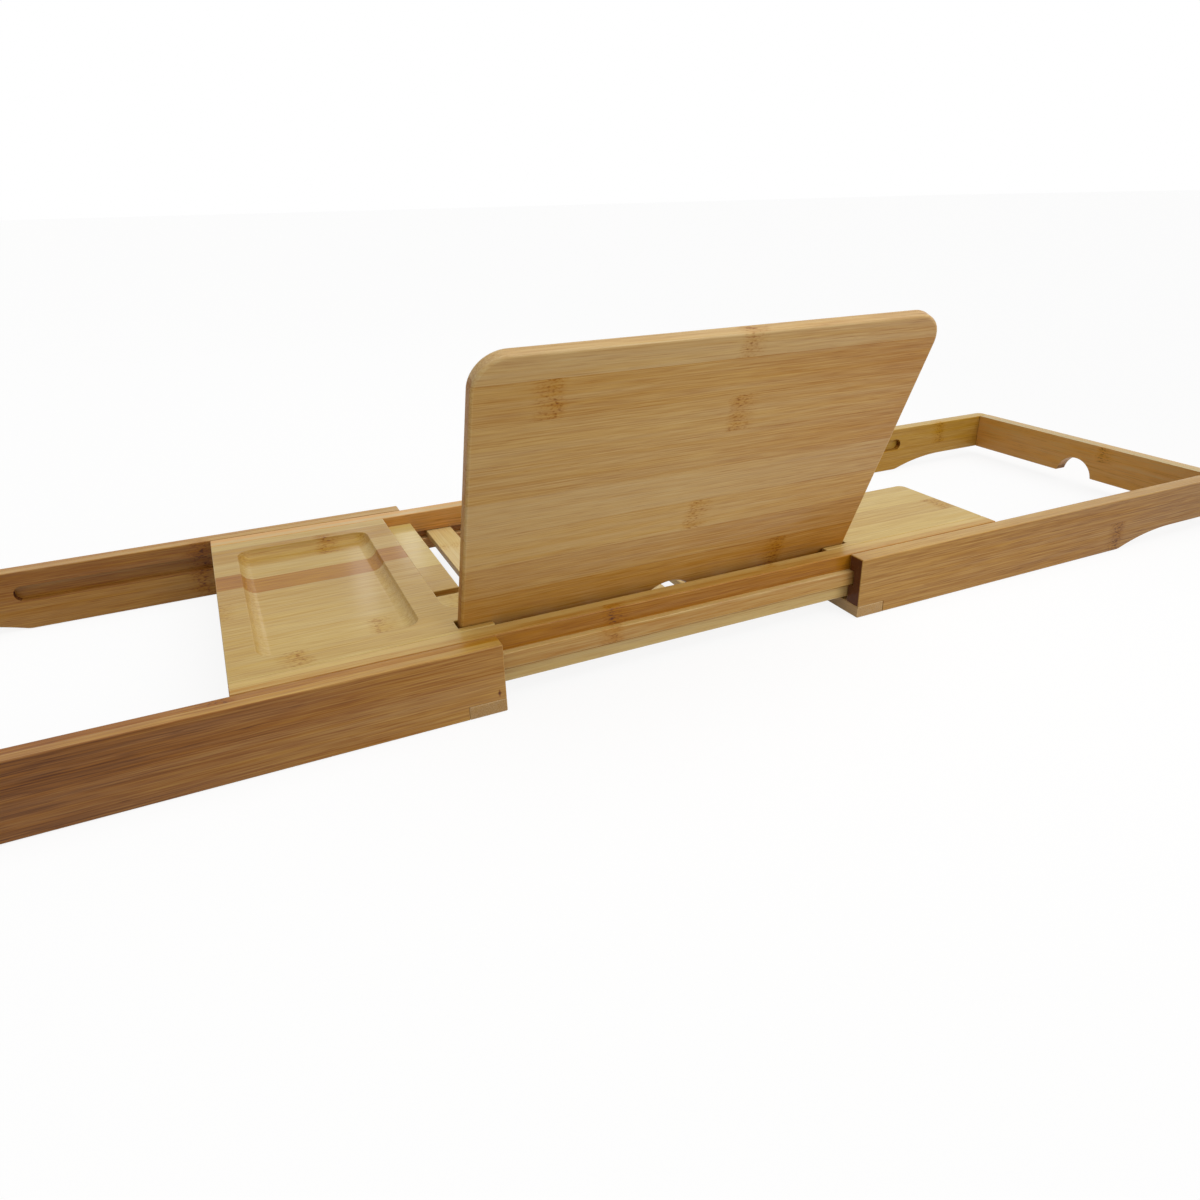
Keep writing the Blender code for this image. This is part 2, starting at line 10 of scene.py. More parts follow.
import bmesh
import bpy
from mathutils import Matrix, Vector


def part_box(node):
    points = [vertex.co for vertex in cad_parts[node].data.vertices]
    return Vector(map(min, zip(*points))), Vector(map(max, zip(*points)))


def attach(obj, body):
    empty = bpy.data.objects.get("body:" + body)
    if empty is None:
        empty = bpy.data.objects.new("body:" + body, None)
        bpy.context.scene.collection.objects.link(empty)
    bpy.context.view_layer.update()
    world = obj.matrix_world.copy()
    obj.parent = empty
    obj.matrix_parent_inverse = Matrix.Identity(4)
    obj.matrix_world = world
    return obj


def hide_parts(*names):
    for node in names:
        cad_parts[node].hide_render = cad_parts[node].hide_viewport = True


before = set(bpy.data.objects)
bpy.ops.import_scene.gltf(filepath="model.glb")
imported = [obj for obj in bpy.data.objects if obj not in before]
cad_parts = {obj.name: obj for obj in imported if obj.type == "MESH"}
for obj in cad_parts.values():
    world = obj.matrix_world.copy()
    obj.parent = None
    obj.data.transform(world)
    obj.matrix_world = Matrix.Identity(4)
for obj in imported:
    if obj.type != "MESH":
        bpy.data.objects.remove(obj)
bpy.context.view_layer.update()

# Tray side rails. Two bamboo rails, planed all along to one section: a tongue outside that runs in
# the arms, and a groove inside for the boards and slats. Each is cut from one laminated blank.

front_low, front_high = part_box("tray_front_rail")
rear_low, rear_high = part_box("tray_rear_rail")
middle = Vector(((front_low.x + front_high.x) / 2, (front_low.y + rear_high.y) / 2, 0))
half_tray = front_high.x - middle.x
tray_inner = rear_low.y - middle.y
tongue_tip = rear_high.y - middle.y
tray_bottom = rear_low.z
rail_top = rear_high.z

TONGUE_PROJECTION = 0.0032
TONGUE_TOP = 0.0285
TONGUE_BOTTOM = 0.0193
SLAT_GROOVE = (0.0185, 0.0241)
SLAT_GROOVE_DEPTH = 0.005
PEG_HOLE_RADIUS = 0.0028
PEG_HOLE_TOP = 0.0164
SANDED_RADIUS = 0.0007
SAND_FACETS = 3
ARC_TURN = 5
PART_STEP = 0.4
SHARP_ANGLE = 40
SAME_POINT = 0.000001
OVERRUN = 0.004
TOUCH = 0.0003


def outline_of(corners, turn=ARC_TURN):
    """The outline through (a, b, radius) corners, with an arc at each corner that has a radius."""
    points = []
    for index, (a, b, radius) in enumerate(corners):
        here = Vector((a, b))
        if not radius:
            points.append(here)
            continue
        back = (Vector(corners[index - 1][:2]) - here).normalized()
        ahead = (Vector(corners[(index + 1) % len(corners)][:2]) - here).normalized()
        half = back.angle(ahead) / 2
        centre = here + (back + ahead).normalized() * radius / math.sin(half)
        start = here + back * radius / math.tan(half) - centre
        end = here + ahead * radius / math.tan(half) - centre
        first = math.atan2(start.y, start.x)
        sweep = math.remainder(math.atan2(end.y, end.x) - first, math.tau)
        steps = max(2, round(abs(math.degrees(sweep)) / turn + PART_STEP))
        for step in range(steps + 1):
            angle = first + sweep * step / steps
            points.append(centre + radius * Vector((math.cos(angle), math.sin(angle))))
    return [p for i, p in enumerate(points) if (p - points[i - 1]).length > SAME_POINT]


def planed(outline, axis, start, end):
    """A bar of that outline, in the two other axes, planed along one axis."""
    order = {"X": (2, 0, 1), "Y": (0, 2, 1), "Z": (0, 1, 2)}[axis]

    def place(point, along):
        values = (point[0], point[1], along)
        return Vector([values[i] for i in order])

    shape = bmesh.new()
    face = shape.faces.new([shape.verts.new(place(point, start)) for point in outline])
    swept = bmesh.ops.extrude_face_region(shape, geom=[face])["geom"]
    moved = [item for item in swept if isinstance(item, bmesh.types.BMVert)]
    bmesh.ops.translate(shape, verts=moved, vec=place((0, 0), end) - place((0, 0), start))
    bmesh.ops.recalc_face_normals(shape, faces=shape.faces)
    return shape


def block(low, high):
    """A squared block between two corners."""
    outline = [(low[0], low[1]), (high[0], low[1]), (high[0], high[1]), (low[0], high[1])]
    return planed(outline, "Z", low[2], high[2])


def turned(profile, centre, sides=32):
    """A (radius, height) profile turned about the upright line through centre."""
    shape = bmesh.new()
    points = [shape.verts.new((centre[0] + r, centre[1], z)) for r, z in profile]
    edges = [shape.edges.new(pair) for pair in zip(points, points[1:])]
    bmesh.ops.spin(
        shape, geom=points + edges, cent=(centre[0], centre[1], 0), axis=(0, 0, 1),
        angle=math.tau, steps=sides, use_merge=True,
    )
    bmesh.ops.remove_doubles(shape, verts=shape.verts, dist=SAME_POINT)
    bmesh.ops.recalc_face_normals(shape, faces=shape.faces)
    return shape


def laid_down(name, data):
    """An object of that name in the scene, with that mesh, lamp or camera."""
    thing = bpy.data.objects.new(name, data)
    bpy.context.scene.collection.objects.link(thing)
    return thing


def held(shape, name="blank"):
    """An object that holds the shape."""
    mesh = bpy.data.meshes.new(name)
    shape.to_mesh(mesh)
    shape.free()
    return laid_down(name, mesh)


def cut(shape, *cutters):
    """Takes the cutters out of the shape."""
    blank = held(shape)
    tools = [held(cutter, "cutter") for cutter in cutters]
    for tool in tools:
        removal = blank.modifiers.new("cut", "BOOLEAN")
        removal.operation = "DIFFERENCE"
        removal.solver = "EXACT"
        removal.object = tool
    result = bmesh.new()
    result.from_object(blank, bpy.context.evaluated_depsgraph_get())
    for thing in [blank, *tools]:
        bpy.data.objects.remove(thing, do_unlink=True)
    bmesh.ops.remove_doubles(result, verts=result.verts, dist=SAME_POINT)
    return result


def rounded(shape, radius, facets, chosen):
    """Rounds the edges whose two ends pass the test, and gives the new faces."""
    edges = [e for e in shape.edges if chosen(e, e.verts[0].co, e.verts[1].co)]
    return bmesh.ops.bevel(
        shape, geom=edges, offset=radius, offset_type="OFFSET", segments=facets, profile=0.5,
        affect="EDGES", clamp_overlap=False,
    )["faces"]


def sanded(shape, skip=lambda a, b: False, radius=SANDED_RADIUS, painted_shading=lambda place: 0):
    """Eases the sharp outer edges as sanding does, and marks the faces that the paper has worn. It
    also marks painted shade on the faces that the given test picks: a value above 0 paints them
    darker, and one below 0 paints light on them."""

    def arris(edge, a, b):
        if len(edge.link_faces) != 2 or skip(a, b):
            return False
        return edge.is_convex and edge.calc_face_angle() > math.radians(SHARP_ANGLE)

    mark = shape.faces.layers.float.new("sanded")
    for face in rounded(shape, radius, SAND_FACETS, arris):
        face[mark] = 1
    # Painted shade: faces the test picks are painted darker, or paler with painted light below 0
    for face in shape.faces:
        face[mark] -= painted_shading(face.calc_center_median())
    return shape


def piece(name, shape, at, material):
    """The finished piece: its shape set down at that point, with smooth rounds and flat faces."""
    bmesh.ops.translate(shape, verts=shape.verts, vec=at)
    thing = held(shape, name)
    thing.data.materials.append(material)
    thing.data.shade_smooth()
    thing.data.set_sharp_from_angle(angle=math.radians(SHARP_ANGLE))
    return plain(thing)


def plain(thing):
    """Keeps flat faces flat, then turns what the modifiers make into the object's own mesh."""
    flat = thing.modifiers.new("flat", "WEIGHTED_NORMAL")
    flat.keep_sharp = True
    made = thing.evaluated_get(bpy.context.evaluated_depsgraph_get())
    mesh = bpy.data.meshes.new_from_object(made)
    thing.modifiers.clear()
    thing.data = mesh
    mesh.name = thing.name
    return thing


class Socket:
    """A node's socket that can be written into sums, so that 1 - mask adds its own Math node. One
    without a socket of its own starts a tree."""

    def __init__(self, tree, socket=None):
        self.tree = tree
        self.socket = socket

    def node(self, kind, settings=(), values=(), out=0):
        """A shader or Geometry node: its settings first, then the values or links of its sockets."""
        made = self.tree.nodes.new(kind if kind.startswith("Geometry") else "ShaderNode" + kind)
        for key, value in dict(settings).items():
            if key == "stops":
                ramp = made.color_ramp
                ramp.interpolation = value[0]
                for index, (place, colour) in enumerate(value[1]):
                    fresh = index >= len(ramp.elements)
                    stop = ramp.elements.new(1) if fresh else ramp.elements[index]
                    stop.position = place
                    stop.color = (*colour, 1)[:4]
            else:
                setattr(made, key, value)
        self.feed(made, values)
        return Socket(self.tree, made.outputs[out])

    def feed(self, made, values):
        """Gives a node's sockets their values, links or lists of links."""
        for key, value in dict(values).items():
            for item in value if isinstance(value, list) else [value]:
                if isinstance(item, Socket):
                    self.tree.links.new(item.socket, made.inputs[key])
                else:
                    made.inputs[key].default_value = item

    def maths(self, operation, *items):
        return self.node("Math", {"operation": operation}, enumerate(items))

    def __add__(self, other):
        return self.maths("ADD", self, other)

    def __sub__(self, other):
        return self.maths("SUBTRACT", self, other)

    def __rsub__(self, other):
        return self.maths("SUBTRACT", other, self)

    def __mul__(self, other):
        return self.maths("MULTIPLY", self, other)

    def __truediv__(self, other):
        return self.maths("DIVIDE", self, other)

    def __gt__(self, other):
        return self.maths("GREATER_THAN", self, other)

    def __abs__(self):
        return self.maths("ABSOLUTE", self)

    __radd__ = __add__
    __rmul__ = __mul__

    def kept(self):
        """The same, kept between 0 and 1."""
        return self.node("Clamp", {}, {0: self})


def seen(red, green, blue):
    """A colour as it is seen, from 0 to 255, made linear."""
    return tuple(((c / 255 + 0.055) / 1.055) ** 2.4 for c in (red, green, blue))


def bamboo(
    name, colours, face, back=None, split=0.0, centre=(0, 0, 0), lean=0.0, order="XZY", edge_tone=0.0,
    core=0.0, fade=0.0, fleck=None
):
    """Laminated bamboo, in four colours as they are seen, from dark to pale. The strips run along the
    first axis of order, lie side by side along the second, and in two layers along the third: face
    above the split and back below it. Each strip is its lower edge and its tone, from dark 0 to pale
    1. It may add the place of its knuckle along the grain, or None, and its cast, from greenish -0.5
    to reddish 0.5. Faces that look along the second axis are paler by edge_tone. The tone grows by
    core for each metre below the split, and falls by fade from the centre to FADE_LENGTH, towards
    the fade's own sign. A fleck is a dark spot at (along, across)."""
    material = bpy.data.materials.new(name)
    material.use_nodes = True
    shader = material.node_tree.nodes["Principled BSDF"]
    start = Socket(material.node_tree)
    place = start.node(
        "Mapping", {"vector_type": "TEXTURE"},
        {0: start.node("TexCoord", out="Object"), "Location": centre, "Rotation": (lean, 0, 0)},
    )
    along, across, deep = [start.node("SeparateXYZ", {}, {0: place}, out=axis) for axis in order]

    def laid(strips):
        """Each strip's tone, knuckle and number, as the three parts of one colour, and its cast."""
        low = strips[0][0]
        span = strips[-1][0] + LAST_STRIP_WIDTH - low
        stops = []
        for n, strip in enumerate(strips):
            edge, tone, knuckle, cast = strip + (None, 0)[len(strip) - 2:]
            mark = NO_KNUCKLE if knuckle is None else 0.5 + knuckle
            stops.append(((edge - low) / span, (tone, mark, n * NUMBER_STEP % 1, 0.5 + cast)))
        ramp = start.node("ValToRGB", {"stops": ("CONSTANT", stops)}, {0: (across - low) / span})
        return ramp, Socket(ramp.tree, ramp.socket.node.outputs["Alpha"])

    def seams(strips):
        """Thin glue lines between the strips."""
        return sum((1 - abs(across - strip[0]) / SEAM_WIDTH).kept() for strip in strips[1:])

    strip, cast = laid(face)
    glue = seams(face)
    if back:
        upper = deep > split
        back_strip, back_cast = laid(back)
        strip = start.node("Mix", {"data_type": "RGBA"}, {0: upper, 6: back_strip, 7: strip}, out=2)
        cast = start.node("Mix", {}, {0: upper, 2: back_cast, 3: cast})
        between = (1 - abs(deep - split) / LAYER_SEAM_WIDTH).kept()
        glue = glue * upper + seams(back) * (1 - upper) + between
    tone, knuckle, number = [start.node("SeparateColor", {}, {0: strip}, out=n) for n in range(3)]

    def noise(length, width, detail, offset, lane=across):
        """Noise about 0, drawn out along the grain, in streaks of about that length and width."""
        point = start.node(
            "CombineXYZ", {},
            {
                0: along / length + number * STRIP_SHIFTS[0] + offset,
                1: lane / width + number * STRIP_SHIFTS[1], 2: deep / width,
            },
        )
        return start.node("TexNoise", {}, {"Vector": point, "Scale": 1.0, "Detail": detail}) - 0.5

    gap = along - (knuckle - 0.5) + noise(*KNUCKLE_WANDER) * KNUCKLE_DRIFT
    gap = gap * ((number > KNUCKLE_TURNED) * 2 - 1)
    ring = (1 - gap / KNUCKLE_TAIL).kept() * (1 + gap / KNUCKLE_HEAD).kept()
    ring = ring * (NO_KNUCKLE - knuckle > MARK_MARGIN)
    grain = across + noise(*WAVE) * (WAVE_HEIGHT + KNUCKLE_WAVE_HEIGHT * ring)
    cloud, mottle = [noise(*streak) for streak in (CLOUD, MOTTLE)]
    vein, fibre, pore = [noise(*streak, grain) for streak in (VEIN, FIBRE, PORE)]
    grit, tint = [noise(*streak, grain) for streak in (GRIT, TINT)]
    end_grain, edge_grain = [
        abs(start.node(
            "VectorMath", {"operation": "DOT_PRODUCT"},
            {
                0: start.node("TexCoord", out="Normal"),
                1: tuple(float(name == turn) for name in "XYZ"),
            },
            out="Value",
        )) > SQUARELY
        for turn in order[:2]
    ]
    # Sanded edges are paler from wear; the same mark paints shade into slots and groove walls, and
    # light onto groove floors
    wear_and_painted_shade = start.node("Attribute", {"attribute_name": "sanded"}, out="Fac") * (WORN_LEAST + vein)
    streaks = cloud * CLOUD_TONE + vein * VEIN_TONE + fibre * FIBRE_TONE + grit * GRIT_TONE
    shade = tone + streaks - (pore - PORE_LEAST).kept() * PORE_TONE
    if core:
        shade = shade - (deep - split) * core
    if fleck:
        spot = 1 - abs(along - fleck[0]) / FLECK_SIZE[0] - abs(across - fleck[1]) / FLECK_SIZE[1]
        shade = shade - spot.kept() * FLECK_TONE
    # On the arms' rails the fade is painted shade: darker towards one end, where less light falls
    if fade:
        shade = shade - (along / math.copysign(FADE_LENGTH, fade)).kept() * abs(fade)
    spots = (mottle + KNUCKLE_SPOT_SPREAD).kept()
    shade = shade - ring * (KNUCKLE_TONE + KNUCKLE_SPOT_TONE * spots) - glue * GLUE_TONE
    shade = shade + wear_and_painted_shade * WEAR_AND_PAINTED_SHADE_TONE + edge_grain * edge_tone
    shade = shade - end_grain * (END_TONE + END_FIBRE_TONE * (fibre + END_FIBRE_SPREAD).kept())
    stops = list(zip(COLOUR_TONES, [seen(*colour) for colour in colours]))
    colour = start.node("ValToRGB", {"stops": ("LINEAR", stops)}, {0: shade})
    cast = cast - 0.5 + tint * TINT_CAST + ring * KNUCKLE_CAST
    colour = start.node(
        "HueSaturation", {},
        {"Hue": 0.5 - cast * CAST_HUE, "Saturation": 1 + cast * CAST_SATURATION, "Color": colour},
    )
    rough = TIMBER_ROUGHNESS - fibre * FIBRE_GLOSS - vein * VEIN_GLOSS - wear_and_painted_shade * WORN_GLOSS
    rough = rough + end_grain * END_ROUGHNESS + ring * KNUCKLE_ROUGHNESS
    relief = fibre * FIBRE_RELIEF + vein * VEIN_RELIEF - glue * GLUE_RELIEF
    relief = relief + mottle * ring * KNUCKLE_RELIEF
    bump = start.node(
        "Bump", {}, {"Strength": BUMP_STRENGTH, "Distance": BUMP_DISTANCE, "Height": relief}
    )
    start.feed(shader, {
        "Base Color": colour, "Roughness": rough, "Normal": bump,
        "Specular IOR Level": TIMBER_SPECULAR,
        "Coat Weight": LACQUER_WEIGHT, "Coat Roughness": LACQUER_ROUGHNESS,
    })
    return material


# Length, width, octaves and offset of each kind of streak in the timber
CLOUD = (0.2, 0.008, 2, 0)
VEIN = (0.26, 0.0016, 3, 5)
FIBRE = (0.085, 0.0008, 2, 9)
GRIT = (0.024, 0.0006, 1, 33)
PORE = (0.012, 0.0008, 1, 13)
MOTTLE = (0.0024, 0.0011, 2, 21)
TINT = (0.11, 0.0035, 2, 29)
WAVE = (0.022, 0.006, 1, 17)
KNUCKLE_WANDER = (0.05, 0.007, 1, 3)
# How much each darkens or lightens the tone
CLOUD_TONE = 0.15
VEIN_TONE = 0.14
FIBRE_TONE = 0.34
GRIT_TONE = 0.52
PORE_TONE = 0.8
FLECK_TONE = 0.7
KNUCKLE_TONE = 0.07
KNUCKLE_SPOT_TONE = 1.9
GLUE_TONE = 0.11
# Wear on sanded edges, and the painted shade and light of slots and grooves
WEAR_AND_PAINTED_SHADE_TONE = 0.14
END_TONE = 0.2
END_FIBRE_TONE = 0.5
# Sizes along and across the grain
LAST_STRIP_WIDTH = 0.05
SEAM_WIDTH = 0.00035
LAYER_SEAM_WIDTH = 0.00025
FADE_LENGTH = 0.2
FLECK_SIZE = (0.0013, 0.003)
KNUCKLE_DRIFT = 0.009
KNUCKLE_TAIL = 0.012
KNUCKLE_HEAD = 0.006
WAVE_HEIGHT = 0.0005
KNUCKLE_WAVE_HEIGHT = 0.0045
# Where a streak starts to show, and how strips differ
PORE_LEAST = 0.12
KNUCKLE_SPOT_SPREAD = 0.01
END_FIBRE_SPREAD = 0.05
WORN_LEAST = 0.6
SQUARELY = 0.93
NO_KNUCKLE = 1.0
MARK_MARGIN = 0.01
NUMBER_STEP = 0.37
KNUCKLE_TURNED = 0.4
STRIP_SHIFTS = (37, 11)
# Colour and finish
COLOUR_TONES = (0, 0.3, 0.6, 1.0)
TINT_CAST = 0.4
KNUCKLE_CAST = 0.08
CAST_HUE = 0.008
CAST_SATURATION = 0.55
TIMBER_ROUGHNESS = 0.48
FIBRE_GLOSS = 0.25
VEIN_GLOSS = 0.15
WORN_GLOSS = 0.1
END_ROUGHNESS = 0.16
KNUCKLE_ROUGHNESS = 0.06
FIBRE_RELIEF = 0.6
VEIN_RELIEF = 0.5
GLUE_RELIEF = 0.5
KNUCKLE_RELIEF = 1.6
TIMBER_SPECULAR = 0.25
BUMP_STRENGTH = 0.35
BUMP_DISTANCE = 0.0003
LACQUER_WEIGHT = 0.16
LACQUER_ROUGHNESS = 0.15
FRONT_COLOURS = ((86, 44, 12), (144, 94, 38), (174, 126, 62), (203, 174, 110))
# The rear rail's colours are painted paler than the front's: painted light on its inner face, which
# the panel and boards shade
REAR_PAINTED_LIGHT_COLOURS = ((86, 44, 12), (150, 92, 38), (218, 164, 98), (206, 174, 118))
TRAY_RAIL_STRIPS = [(0, 0.94, 0.17, -0.1), (0.0172, 0.7, -0.045), (0.0287, 0.41, -0.046, 0.15)]
TRAY_RAIL_BACK = [(0, 0.5, 0.15), (0.026, 0.6, 0.062, 0.1)]
TRAY_EDGE_TONE = 0.37
RAIL_MIDDLE = 0.1018
PEGS = [f"stop_peg_{n}" for n in (1, 2, 3, 4)]

tray_outer = tongue_tip - TONGUE_PROJECTION
groove_floor = tray_inner + SLAT_GROOVE_DEPTH
section = [
    (tray_inner, tray_bottom), (tray_outer, tray_bottom), (tray_outer, TONGUE_BOTTOM),
    (tongue_tip, TONGUE_BOTTOM), (tongue_tip, TONGUE_TOP), (tray_outer, TONGUE_TOP),
    (tray_outer, rail_top), (tray_inner, rail_top), (tray_inner, SLAT_GROOVE[1]),
    (groove_floor, SLAT_GROOVE[1]), (groove_floor, SLAT_GROOVE[0]), (tray_inner, SLAT_GROOVE[0]),
]
hole = [(0, 0), (PEG_HOLE_RADIUS, 0), (PEG_HOLE_RADIUS, PEG_HOLE_TOP), (0, PEG_HOLE_TOP)]
peg_boxes = [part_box(peg) for peg in PEGS]
peg_middles = [(low + high) / 2 for low, high in peg_boxes]

for name, wall, colours in (
    ("tray_front_rail", -1, FRONT_COLOURS), ("tray_rear_rail", 1, REAR_PAINTED_LIGHT_COLOURS),
):
    rail = planed([(wall * y, z) for y, z in section], "X", -half_tray, half_tray)
    centres = [place - middle for place in peg_middles if (place.y - middle.y) * wall > 0]
    rail = cut(rail, *[turned(hole, c) for c in centres])

    def at_peg(a, b):
        return all(p.z < PEG_HOLE_TOP + TOUCH for p in (a, b)) and any(
            (a.xy - c.xy).length < PEG_HOLE_RADIUS + TOUCH for c in centres
        )

    strips = (TRAY_RAIL_BACK, TRAY_RAIL_STRIPS) if wall < 0 else (TRAY_RAIL_STRIPS, TRAY_RAIL_BACK)
    finish = bamboo(
        name, colours, *strips, split=wall * RAIL_MIDDLE, centre=middle, edge_tone=TRAY_EDGE_TONE
    )
    rail = piece(name + "_shaped", sanded(rail, at_peg), middle, finish)
    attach(rail, "tray")
    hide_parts(name)

# Slats. Seven thin bamboo slats across the bay carry bottles and cups. They are ripped from pale
# flat-sawn strip, sanded on the long edges, and slipped into the grooves of both rails.

SLAT_COUNT = 7
SLAT_EDGE_RADIUS = 0.0007
SLAT_TONES = (0.9, 0.78, 0.95, 0.84, 0.92, 0.74, 0.88)
SLAT_KNUCKLES = (0.061, -0.034, None, 0.022, -0.071, None, 0.048)
SLAT_COLOURS = ((122, 70, 28), (180, 132, 72), (205, 170, 107), (223, 197, 135))
SLAT_EDGE_TONE = -0.1
SLAT_LAP = 0.001
SLATS = [f"slat_{n + 1}" for n in range(SLAT_COUNT)]


def tree_of(name, **inputs):
    """The start of a Geometry Nodes tree, and what it is given: those inputs and a Material."""
    tree = bpy.data.node_groups.new(name, "GeometryNodeTree")
    tree.interface.new_socket("Geometry", in_out="OUTPUT", socket_type="NodeSocketGeometry")
    for label, kind in (*inputs.items(), ("Material", "Material")):
        tree.interface.new_socket(label, in_out="INPUT", socket_type="NodeSocket" + kind)
    given = tree.nodes.new("NodeGroupInput").outputs
    return Socket(tree), {socket.name: Socket(tree, socket) for socket in given}


def in_line(given, count):
    """Points in a row, each the tree's Step from the last."""
    return given["First"].node(
        "GeometryNodeMeshLine", {"mode": "OFFSET"},
        {"Count": count, "Start Location": given["First"], "Offset": given["Step"]},
    )


def set_out(points, thing, material, smooth=True):
    """The tree's end: the thing copied to each point, made real, and given its material."""
    copies = points.node("GeometryNodeInstanceOnPoints", {}, {"Points": points, "Instance": thing})
    if smooth:
        copies = points.node("GeometryNodeSetShadeSmooth", {}, {0: copies})
    real = points.node("GeometryNodeRealizeInstances", {}, {0: copies})
    dressed = points.node("GeometryNodeSetMaterial", {}, {0: real, "Material": material})
    points.feed(points.tree.nodes.new("NodeGroupOutput"), {0: dressed})


def grow(name, tree, values, radius, facets=SAND_FACETS):
    """The piece that a tree makes from those values, its edges rounded, as a plain mesh."""
    thing = laid_down(name, bpy.data.meshes.new(name))
    nodes = thing.modifiers.new("nodes", "NODES")
    nodes.node_group = tree
    for item in tree.interface.items_tree:
        if item.in_out == "INPUT":
            nodes[item.identifier] = values[item.name]
    ease = thing.modifiers.new("ease", "BEVEL")
    ease.width = radius
    ease.segments = facets
    ease.limit_method = "ANGLE"
    return plain(thing)


slat_boxes = [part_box(slat) for slat in SLATS]
slat_low, slat_high = slat_boxes[0]
slat_step = (slat_boxes[-1][0].x - slat_low.x) / (SLAT_COUNT - 1)
slat_strips = [
    (low.x - middle.x - SLAT_LAP, tone, knuckle)
    for (low, _), tone, knuckle in zip(slat_boxes, SLAT_TONES, SLAT_KNUCKLES)
]
slat_bamboo = bamboo(
    "slat_bamboo", SLAT_COLOURS, slat_strips, centre=middle, order="YXZ", edge_tone=SLAT_EDGE_TONE
)
row, given = tree_of("row_of_slats", Count="Int", Step="Vector", First="Vector", Size="Vector")
stick = row.node("GeometryNodeMeshCube", {}, {"Size": given["Size"]})
set_out(in_line(given, given["Count"]), stick, given["Material"])
slats = grow(
    "slats", row.tree,
    {
        "Count": SLAT_COUNT, "Step": (slat_step, 0, 0), "First": (slat_low + slat_high) / 2,
        "Size": slat_high - slat_low, "Material": slat_bamboo,
    },
    SLAT_EDGE_RADIUS,
)
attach(slats, "tray")
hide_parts(*SLATS)

# Soap board. The left board, edge-glued from bamboo strips about 21 mm wide in two layers, with a
# coved soap recess routed in, and a ledge and two slots at its inner end for the book panel.

LEDGE_TOP = 0.0319
LEDGE_FRONT_GAP = 0.0255
LEDGE_SIDE_GAP = 0.0015
LEDGE_CORNER_RADIUS = 0.016
RECESS_DEPTH = 0.005
RECESS_END_MARGIN = 0.0143
RECESS_SIDE_MARGIN = 0.0182
RECESS_LAND = 0.0155
RECESS_CORNER_RADIUS = 0.009
COVE_RADIUS = 0.008
COVE_FACETS = 10
RIM_RADIUS = 0.0008
RIM_FACETS = 3
RIM_END_SLOPE = math.radians(15)
BOARD_TONGUE_TOP = 0.0238
LEAN = math.radians(22.5)
PANEL_THICKNESS = 0.007
PANEL_INSERT = 0.0084
PANEL_SETBACK = 0.0053
SLOT_PLAY = 0.0008
UPRIGHT_SLOT_OFFSET = 0.0401
UPRIGHT_SLOT_DEPTH = 0.005
# Painted shade: how much darker the upright slot's walls and floor are painted
SLOT_PAINTED_SHADE = 2.0
LAYER_SPLIT = 0.0328
BOARD_COLOURS = ((104, 59, 16), (157, 111, 48), (187, 152, 80), (213, 189, 119))
SOAP_FACE = [
    (-0.12, 0.8), (-0.095, 0.69, -0.203), (-0.072, 0.7, -0.16), (-0.0495, 0.68),
    (-0.027, 0.66, -0.24), (-0.0045, 0.62), (0.0165, 0.4, 0.11, 0.95), (0.0385, 0.7),
    (0.06, 0.55, -0.17, 0.1), (0.084, 0.78),
]
SOAP_BACK = [
    (-0.12, 0.7), (-0.062, 0.8, -0.112), (-0.033, 0.58), (-0.012, 0.6),
    (0.011, 0.86), (0.033, 0.82), (0.056, 0.92, -0.19), (0.078, 0.86),
]
BOARD_CORE = 14.0
soap_low, soap_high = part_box("soap_board")
half_bay = middle.x - soap_high.x
board_bottom = soap_low.z
panel_half = (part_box("book_panel")[1].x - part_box("book_panel")[0].x) / 2
ledge_side = panel_half + LEDGE_SIDE_GAP
ledge_front = -tray_inner + LEDGE_FRONT_GAP
panel_foot = (
    -tray_inner + PANEL_SETBACK + PANEL_INSERT * math.sin(LEAN),
    rail_top - PANEL_INSERT * math.cos(LEAN),
)


def panel_point(up, back):
    """A point of the leaning panel's section, as (y, z)."""
    y = panel_foot[0] - up * math.sin(LEAN) + back * math.cos(LEAN)
    return (y, panel_foot[1] + up * math.cos(LEAN) + back * math.sin(LEAN))


def board_blank(side):
    """A plain board with a tongue along each side for the rails' grooves."""
    wide = tray_inner + SLAT_GROOVE_DEPTH - TOUCH
    narrow = tray_inner - TOUCH
    top = BOARD_TONGUE_TOP
    half = [(wide, board_bottom), (wide, top), (narrow, top), (narrow, rail_top)]
    outline = half + [(-y, z) for y, z in reversed(half)]
    return planed(outline, "X", side * half_bay, side * half_tray)


def panel_seats(side):
    """What the router takes out of a board's inner end: the ledge and the two slots."""
    inner = half_bay - OVERRUN
    above = rail_top + OVERRUN
    corners = [
        (inner, ledge_front, 0),
        (ledge_side, ledge_front, LEDGE_CORNER_RADIUS),
        (ledge_side, tray_inner + OVERRUN, 0),
        (inner, tray_inner + OVERRUN, 0),
    ]
    ledge = planed([(side * p.x, p.y) for p in outline_of(corners)], "Z", LEDGE_TOP, above)
    low, high = (-TOUCH, PANEL_INSERT + PANEL_THICKNESS)
    front, back = (-SLOT_PLAY, PANEL_THICKNESS + SLOT_PLAY)
    section = [panel_point(*p) for p in ((low, front), (low, back), (high, back), (high, front))]
    leaning = planed(section, "X", side * inner, side * ledge_side)
    centre = ledge_front + UPRIGHT_SLOT_OFFSET
    half = PANEL_THICKNESS / 2 + TOUCH
    upright = block(
        (side * inner, centre - half, LEDGE_TOP - UPRIGHT_SLOT_DEPTH),
        (side * ledge_side, centre + half, above),
    )
    return [ledge, leaning, upright]


